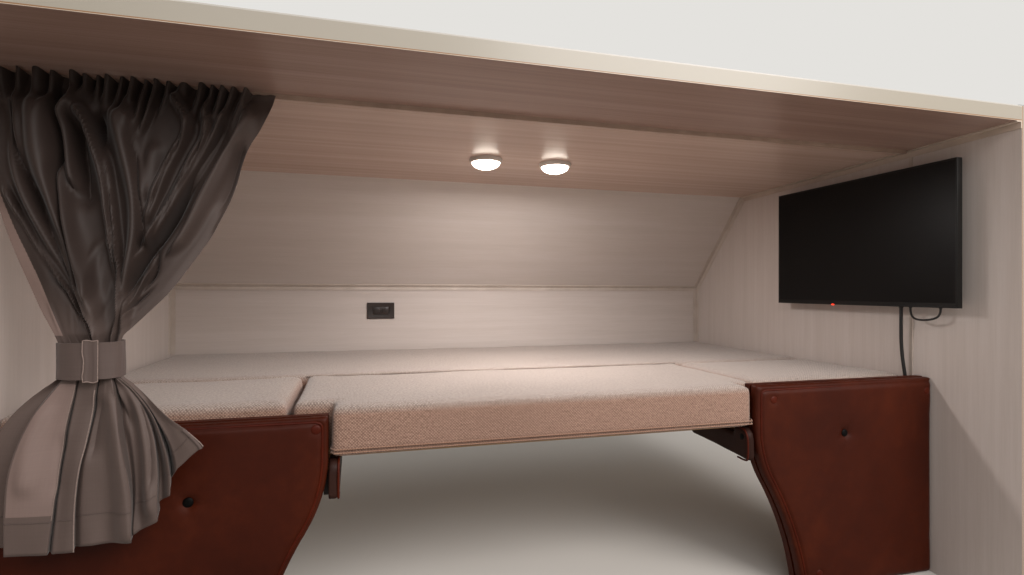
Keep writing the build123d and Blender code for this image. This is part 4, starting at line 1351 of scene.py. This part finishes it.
def neck_point(across, share):
    """A point of the neck in its band, where the body's folds turn into the skirt's."""
    turned = ease(share)
    spot = across + (along(SKIRT, across, 1) - across) * turned
    y = NECK_Y + along(SKIRT, across, 2, fold_shape) * turned
    fold = folded_out("body", FOOT_LEFT + FOOT_WIDTH * across, FOOT_Z, FOOT_WIDTH / TOP_WIDTH)
    z = NECK_TOP + (NECK_BOTTOM - NECK_TOP) * share
    return NECK_LEFT + NECK_WIDTH * spot, y, z, 0.62 * fold * (1 - turned)


def skirt_point(across, share):
    """A point of the skirt, whose folds swing out from the neck to the hem."""
    neck_x = NECK_LEFT + NECK_WIDTH * along(SKIRT, across, 1)
    flare = 1 - (1 - share) ** along(SKIRT, across, 6)
    x = neck_x + (along(SKIRT, across, 3) - neck_x) * flare
    z = NECK_BOTTOM + (along(SKIRT, across, 5) - NECK_BOTTOM) * share
    neck_y = NECK_Y + along(SKIRT, across, 2, fold_shape)
    hem_y = along(SKIRT, across, 4, lambda part, rising: ease(part))
    return x, neck_y + (hem_y - neck_y) * ease(share / 0.6), z, folded_out("skirt", x, z, 1.0)


def cloth_point(across, down):
    """A point of the curtain from its two directions."""
    if down < BODY_END:
        x, y, z, out = body_point(across, down / BODY_END)
    elif down < NECK_END:
        x, y, z, out = neck_point(across, (down - BODY_END) / (NECK_END - BODY_END))
    else:
        x, y, z, out = skirt_point(across, (down - NECK_END) / (1 - NECK_END))
    # The cloth wanders a little, least in the neck
    calm = 0.2 + 0.8 * ease(max(BODY_END - down, down - NECK_END) / 0.08)
    y += calm * 0.0060 * wander(across * 6, down * 5.0, 0.7)
    x += calm * 0.0040 * wander(across * 10, down * 6.0, 5.2)
    y += calm * 0.0022 * wander(across * 17, down * 11, 2.1)
    return Vector((x, y - out, z))


def cloth_grid(name, columns, rows, place):
    """A grid laid by a rule, and each point's shares across and up the cloth."""
    fresh()
    bpy.ops.mesh.primitive_grid_add(x_subdivisions=columns, y_subdivisions=rows, size=1.0)
    cloth = bpy.context.object
    cloth.name = name
    shares = [(v.co.x + 0.5, v.co.y + 0.5) for v in cloth.data.vertices]
    for vertex, share in zip(cloth.data.vertices, shares):
        vertex.co = place(*share)
    return cloth, shares


def flat_map(cloth, shares, place):
    """A grid's UV map: the flat cloth in metres."""
    weave = cloth.data.uv_layers[0].data
    for loop in cloth.data.loops:
        weave[loop.index].uv = place(*shares[loop.vertex_index])


curtain, cloth_shares = cloth_grid(
    "curtain_cloth", 380, 122, lambda across, up: cloth_point(across, 1 - up),
)
flat_map(
    curtain, cloth_shares, lambda across, up: (across * CLOTH_FLAT[0], (up - 1) * CLOTH_FLAT[1]),
)
shade(curtain, 80)
curtain.data.materials.append(taupe_cloth)
curtain.data.materials.append(lining_cloth)
for face in curtain.data.polygons:
    across, up = cloth_shares[face.vertices[0]]
    down = 1 - up
    # The turned-out lining, between two folds and above the sewn hem
    turned_out = 0.100 < across < 0.184 and 0.69 < down < 0.93
    # and the lining's edge that shows along the wall side, wider towards the band
    along_wall = down < 0.60 and across < 0.04 + 0.33 * (down - 0.34)
    if turned_out or along_wall:
        face.material_index = 1
apply_modifier(curtain, "SMOOTH", factor=0.5, iterations=3)
apply_modifier(curtain, "SOLIDIFY", thickness=0.0012, offset=0.0)
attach(curtain, "root")
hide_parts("curtain")


def sewn(name, start, end, steps, proud, radius, material, resolution):
    """A line of thread or a rolled edge on the cloth, between two (across, down) places."""
    points = []
    for i in range(steps + 1):
        across = start[0] + (end[0] - start[0]) * i / steps
        down = start[1] + (end[1] - start[1]) * i / steps
        points.append(cloth_point(across, down) + Vector((0, -proud, 0)))
    cord = tube(name, points, radius, resolution=resolution)
    return put(cord, material, "root")


hem_stitch = sewn(
    "curtain_hem_stitch", (0.0, 0.938), (1.0, 0.938), 400, 0.0012, 0.0007, band_cloth, 1,
)
# The leading edge's hem is rolled at its lower corner
hem_roll = sewn("curtain_hem_roll", (0.988, 0.91), (0.988, 1.0), 20, 0.0, 0.0036, band_cloth, 4)
# Pale overlocked edges down the skirt: name, share across, from and to down, radius
sewn_edges = [
    sewn(name, (across, top), (across, foot), 80, 0.0010, radius, overlock_thread, 2)
    for name, across, top, foot, radius in (
        ("curtain_strip_edge_left", 0.186, 0.69, 0.935, 0.0008),
        ("curtain_strip_edge_right", 0.290, 0.70, 0.998, 0.0012),
        ("curtain_leading_edge", 0.998, 0.93, 0.998, 0.0010),
    )
]

# Tie-band: a strip round the neck, its stitched end lapped over the front
BAND_FLAT = (0.320, 0.070)
BAND_FOOT, BAND_RISE = 0.2440, 0.0685
band_low, band_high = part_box("tie_band")
band_middle = (band_low + band_high) / 2
band_half = ((band_high.x - band_low.x) / 2 - 0.0012, (band_high.y - band_low.y) / 2 - 0.0012)


def band_place(around, up):
    """A point of the band's loop: a rounded oblong, slightly slack, with a rolled edge."""
    c, s = math.cos(2 * math.pi * around), math.sin(2 * math.pi * around)
    height = BAND_FOOT + BAND_RISE * up
    reach = (abs(c) ** 3.4 + abs(s) ** 3.4) ** (-1 / 3.4)
    slack = 0.0007 * wander(c * 3, s * 3, height * 30)
    turned = 0.024 * max(0.0, -c * reach) ** 1.4 * max(0.0, -s * reach) ** 0.5
    y = band_middle.y + s * reach * (band_half[1] - 0.001 + slack) + turned
    return Vector((
        band_middle.x + c * reach * (band_half[0] - 0.001 + slack),
        y - 0.0006 * (abs(up - 0.5) * 2) ** 6,
        height + 0.0012 * c,
    ))


tie_band, band_shares = cloth_grid("tie_band_cloth", 160, 14, band_place)
flat_map(
    tie_band, band_shares, lambda around, up: (up * BAND_FLAT[1], around * BAND_FLAT[0]),
)
open_whole(tie_band)
mend(0.00001)
done()
apply_modifier(tie_band, "SOLIDIFY", thickness=0.0016, offset=1.0)
shade(tie_band, 60)
put(tie_band, band_cloth, "root", ("tie_band",))

# The band's lapped end, its raw edges overlocked in pale thread
END_LEFT, END_WIDTH, END_LOW, END_HIGH = -0.9690, 0.0225, 0.2400, 0.3170


def end_place(over, up):
    """A point of the lapped end, which stands off the band along its left edge."""
    wavy = 0.0050 * (1 - over) * wander(0.4, up * 5, 1.1)
    ridge = bell(0.0016, 0.14, over - 0.12) + bell(0.0010, 0.12, over - 0.80)
    return Vector((
        END_LEFT + END_WIDTH * over + wavy,
        band_middle.y - band_half[1] - 0.0016 - ridge,
        END_LOW + (END_HIGH - END_LOW) * up + 0.0010 * math.sin(over * 7),
    ))


band_end = cloth_grid("tie_band_end", 16, 40, end_place)[0]
cloth_map(band_end)
apply_modifier(band_end, "SOLIDIFY", thickness=0.0014, offset=0.0)
shade(band_end, 60)
put(band_end, band_cloth, "root")
rim = [end_place(0.0, i / 40) for i in range(41)]
rim += [end_place(i / 10, 1.0) for i in range(1, 11)]
rim += [end_place(1.0, 1 - i / 40) for i in range(1, 41)]
rim += [end_place(1 - i / 10, 0.0) for i in range(1, 10)]
stood_off = [point + Vector((0, -0.0008, 0)) for point in rim]
band_overlock = tube("tie_band_overlock", stood_off, 0.0011, cyclic=True)
put(band_overlock, overlock_thread, "root")

# ---- Ceiling lights ----
LIGHT_XS, LIGHT_Y, LENS_RADIUS, LENS_SEAT = (-0.074, 0.167), -0.050, 0.0458, -0.0126
on_ceiling = [
    Matrix.Translation((x, LIGHT_Y, ceiling_z(LIGHT_Y))) @ Matrix.Rotation(-CEILING_PITCH, 4, "X")
    for x in LIGHT_XS
]
light_rim = lathe("rim", [
    (0.0464, 0.0), (0.0540, 0.0), (0.0540, -0.0032), (0.0534, -0.0070), (0.0520, -0.0098),
    (0.0500, -0.0118), (0.0484, -0.0126), (0.0470, -0.0122), (0.0464, -0.0108), (0.0464, 0.0),
])
dome = [(0.0, -0.0004), (LENS_RADIUS, -0.0004), (LENS_RADIUS, LENS_SEAT)]
for i in range(1, 13):
    angle = math.radians(90 * i / 12)
    dome.append((LENS_RADIUS * math.cos(angle), LENS_SEAT - 0.0205 * math.sin(angle) ** 1.1))
put(
    join("ceiling_light_rims", copies(light_rim, on_ceiling)), pearl,
    "root", ("light_rims",),
)
put(
    join("ceiling_light_lenses", copies(lathe("lens", dome), on_ceiling)), opal,
    "root", ("light_lenses",),
)
for x in LIGHT_XS:
    glow_place = (x, LIGHT_Y, ceiling_z(LIGHT_Y) - 0.038)
    area_lamp("ceiling_glow", glow_place, (0.10,), 4.0, "fffaf8")


# ---- Outlet ----
def stepped(piece, wanted, steps):
    """Insets the faces that a test wants, step by step: by how much, and how far out."""
    pick(piece, "FACE", wanted)
    for thickness, depth in steps:
        bpy.ops.mesh.inset(thickness=thickness, depth=depth)
    done()
    return piece


plate = stepped(
    block("outlet_cover", (-0.438, 0.6682, 0.286), (-0.322, 0.674, 0.356)),
    lambda face: face.normal.y < -0.9,
    ((0.0045, 0.0), (0.0008, -0.0008), (0.0140, 0.0), (0.0006, -0.0012)),
)
soften(plate, 0.0016)
put(plate, urea_brown, "root", ("outlet_plate",))

OUTLET_X, OUTLET_Z, SOCKET_FRONT, SOCKET_HALF = -0.380, 0.321, 0.6668, 0.0125
device = block("outlet_sockets", (-0.4137, 0.6672, 0.3043), (-0.3463, 0.6705, 0.3377))
soften(device, 0.0012)
fresh()
bpy.ops.mesh.primitive_cylinder_add(
    vertices=48, radius=0.0150, depth=0.0016, location=(0.0, SOCKET_FRONT, OUTLET_Z),
    rotation=(math.radians(90), 0, 0),
)
socket_face = apply_place(bpy.context.object)
for vertex in socket_face.data.vertices:
    vertex.co.x = min(max(vertex.co.x, -SOCKET_HALF), SOCKET_HALF)
soften(socket_face, 0.0004, 2)
# Its slots: x and z from its middle, width, height
for x, z, width, height in (
    (-0.001, 0.0062, 0.0080, 0.0017),
    (-0.001, -0.0062, 0.0068, 0.0017),
    (0.0080, 0.0, 0.0042, 0.0042),
):
    cutter = block(
        "cutter", (x - width / 2, 0.662, OUTLET_Z + z - height / 2),
        (x + width / 2, SOCKET_FRONT, OUTLET_Z + z + height / 2),
    )
    apply_modifier(socket_face, "BOOLEAN", operation="DIFFERENCE", object=cutter)
    bpy.data.objects.remove(cutter)
socket_faces = copies(
    socket_face, [Matrix.Translation((OUTLET_X + x, 0, 0)) for x in (-0.0170, 0.0170)],
)
screw = lathe(
    "screw", [(0.0, 0.0012), (0.0014, 0.0011), (0.0026, 0.0006), (0.0029, 0.0), (0.0, 0.0)],
    steps=20,
)
screw.data.transform(Matrix.Translation((OUTLET_X, 0.6671, OUTLET_Z)) @ to_room)
put(
    join("outlet_sockets", [device, *socket_faces, screw]), urea_brown,
    "root", ("outlet_device",),
)

# ---- Television ----
housing = stepped(
    block("television_housing", (1.138, -0.670, 0.365), (1.158, 0.020, 0.790)),
    lambda face: face.normal.x < -0.9,
    ((0.0058, 0.0), (0.0004, -0.0018)),
)
# The bezel is deeper below the screen
for vertex in housing.data.vertices:
    if 0.365 < vertex.co.z < 0.400 and abs(vertex.co.y + 0.325) < 0.344:
        vertex.co.z += 0.0080
soften(housing, 0.0022)
bulge = stepped(
    block("television_back", (1.1575, -0.620, 0.373), (1.180, -0.030, 0.640)),
    lambda face: face.normal.x > 0.9,
    ((0.012, 0.0),),
)
soften(bulge, 0.007, 4)
VENTS, VENT_STEP = 26, 0.018
vent = soften(block("vent", (1.1790, -0.560, 0.590), (1.1806, -0.553, 0.622)), 0.0005, 2)
vents = copies(vent, [Matrix.Translation((0, i * VENT_STEP, 0)) for i in range(VENTS)])
lip = soften(block("television_lip", (1.1362, -0.668, 0.3655), (1.1385, 0.018, 0.3700)), 0.0008)
put(
    join("television_housing", [housing, bulge, lip, *vents]), abs_black,
    "root", ("tv_housing",),
)
standby = block("television_standby", (1.1356, -0.250, 0.3638), (1.1402, -0.241, 0.3672))
put(soften(standby, 0.0006, 2), red_lamp, "root")


# ---- Marker lamps on the brow ----
def rounded_block(name, low, high, corner, width, segments):
    """A block with its four upright corners rounded, and then its edges."""
    piece = block(name, low, high)

    def is_corner(edge):
        middle = edge_middle(piece, edge)
        return abs(middle.x) > 0.04 and abs(middle.y) > 0.01

    pick(piece, "EDGE", is_corner)
    bpy.ops.mesh.bevel(offset=corner, segments=8)
    done()
    return soften(piece, width, segments)


marker_low, marker_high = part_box("marker_lamps")
marker_middle = (marker_low + marker_high) / 2
marker_turn = Matrix((
    rightwards, slope_up.cross(rightwards).normalized(), slope_up,
)).transposed().to_4x4()
on_slope = []
for x in (-1.080, -0.180, 0.0, 0.180, 1.080):
    seat = Vector((x, marker_middle.y, marker_middle.z)) - slope_up * 0.009
    on_slope.append(Matrix.Translation(seat) @ marker_turn)
base = rounded_block("base", (-0.0448, -0.0148, 0.0), (0.0448, 0.0148, 0.006), 0.0142, 0.0012, 2)
cover = rounded_block(
    "cover", (-0.0425, -0.0128, 0.004), (0.0425, 0.0128, 0.0175), 0.0122, 0.0045, 4,
)
put(
    join("marker_lamp_covers", copies(cover, on_slope)), amber,
    "root", ("marker_lamps",),
)
put(join("marker_lamp_bases", copies(base, on_slope)), pvc_jacket, "root")

# ---- CAD nodes that keep their shape ----
dress((
    ("deck_front", deck_ply),
    ("deck_side_left", deck_ply),
    ("deck_side_right", deck_ply),
    ("flap_board", deck_ply),
    ("backing_board_left", saddle_vinyl),
    ("backing_board_right", saddle_vinyl),
    ("cheek_boards", dark_board),
    ("corner_moulding_left", pvc_trim),
    ("corner_moulding_right", pvc_trim),
    ("wall_battens", pvc_trim),
    ("joint_strip", pvc_trim),
    ("ceiling_moulding_left", pvc_ceiling_trim),
    ("ceiling_moulding_right", pvc_ceiling_trim),
    ("curtain_track", track_coat),
    ("tv_bracket", steel_black),
    ("corner_caps", anodised),
    ("tv_screen", panel_glass),
))

low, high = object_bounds()
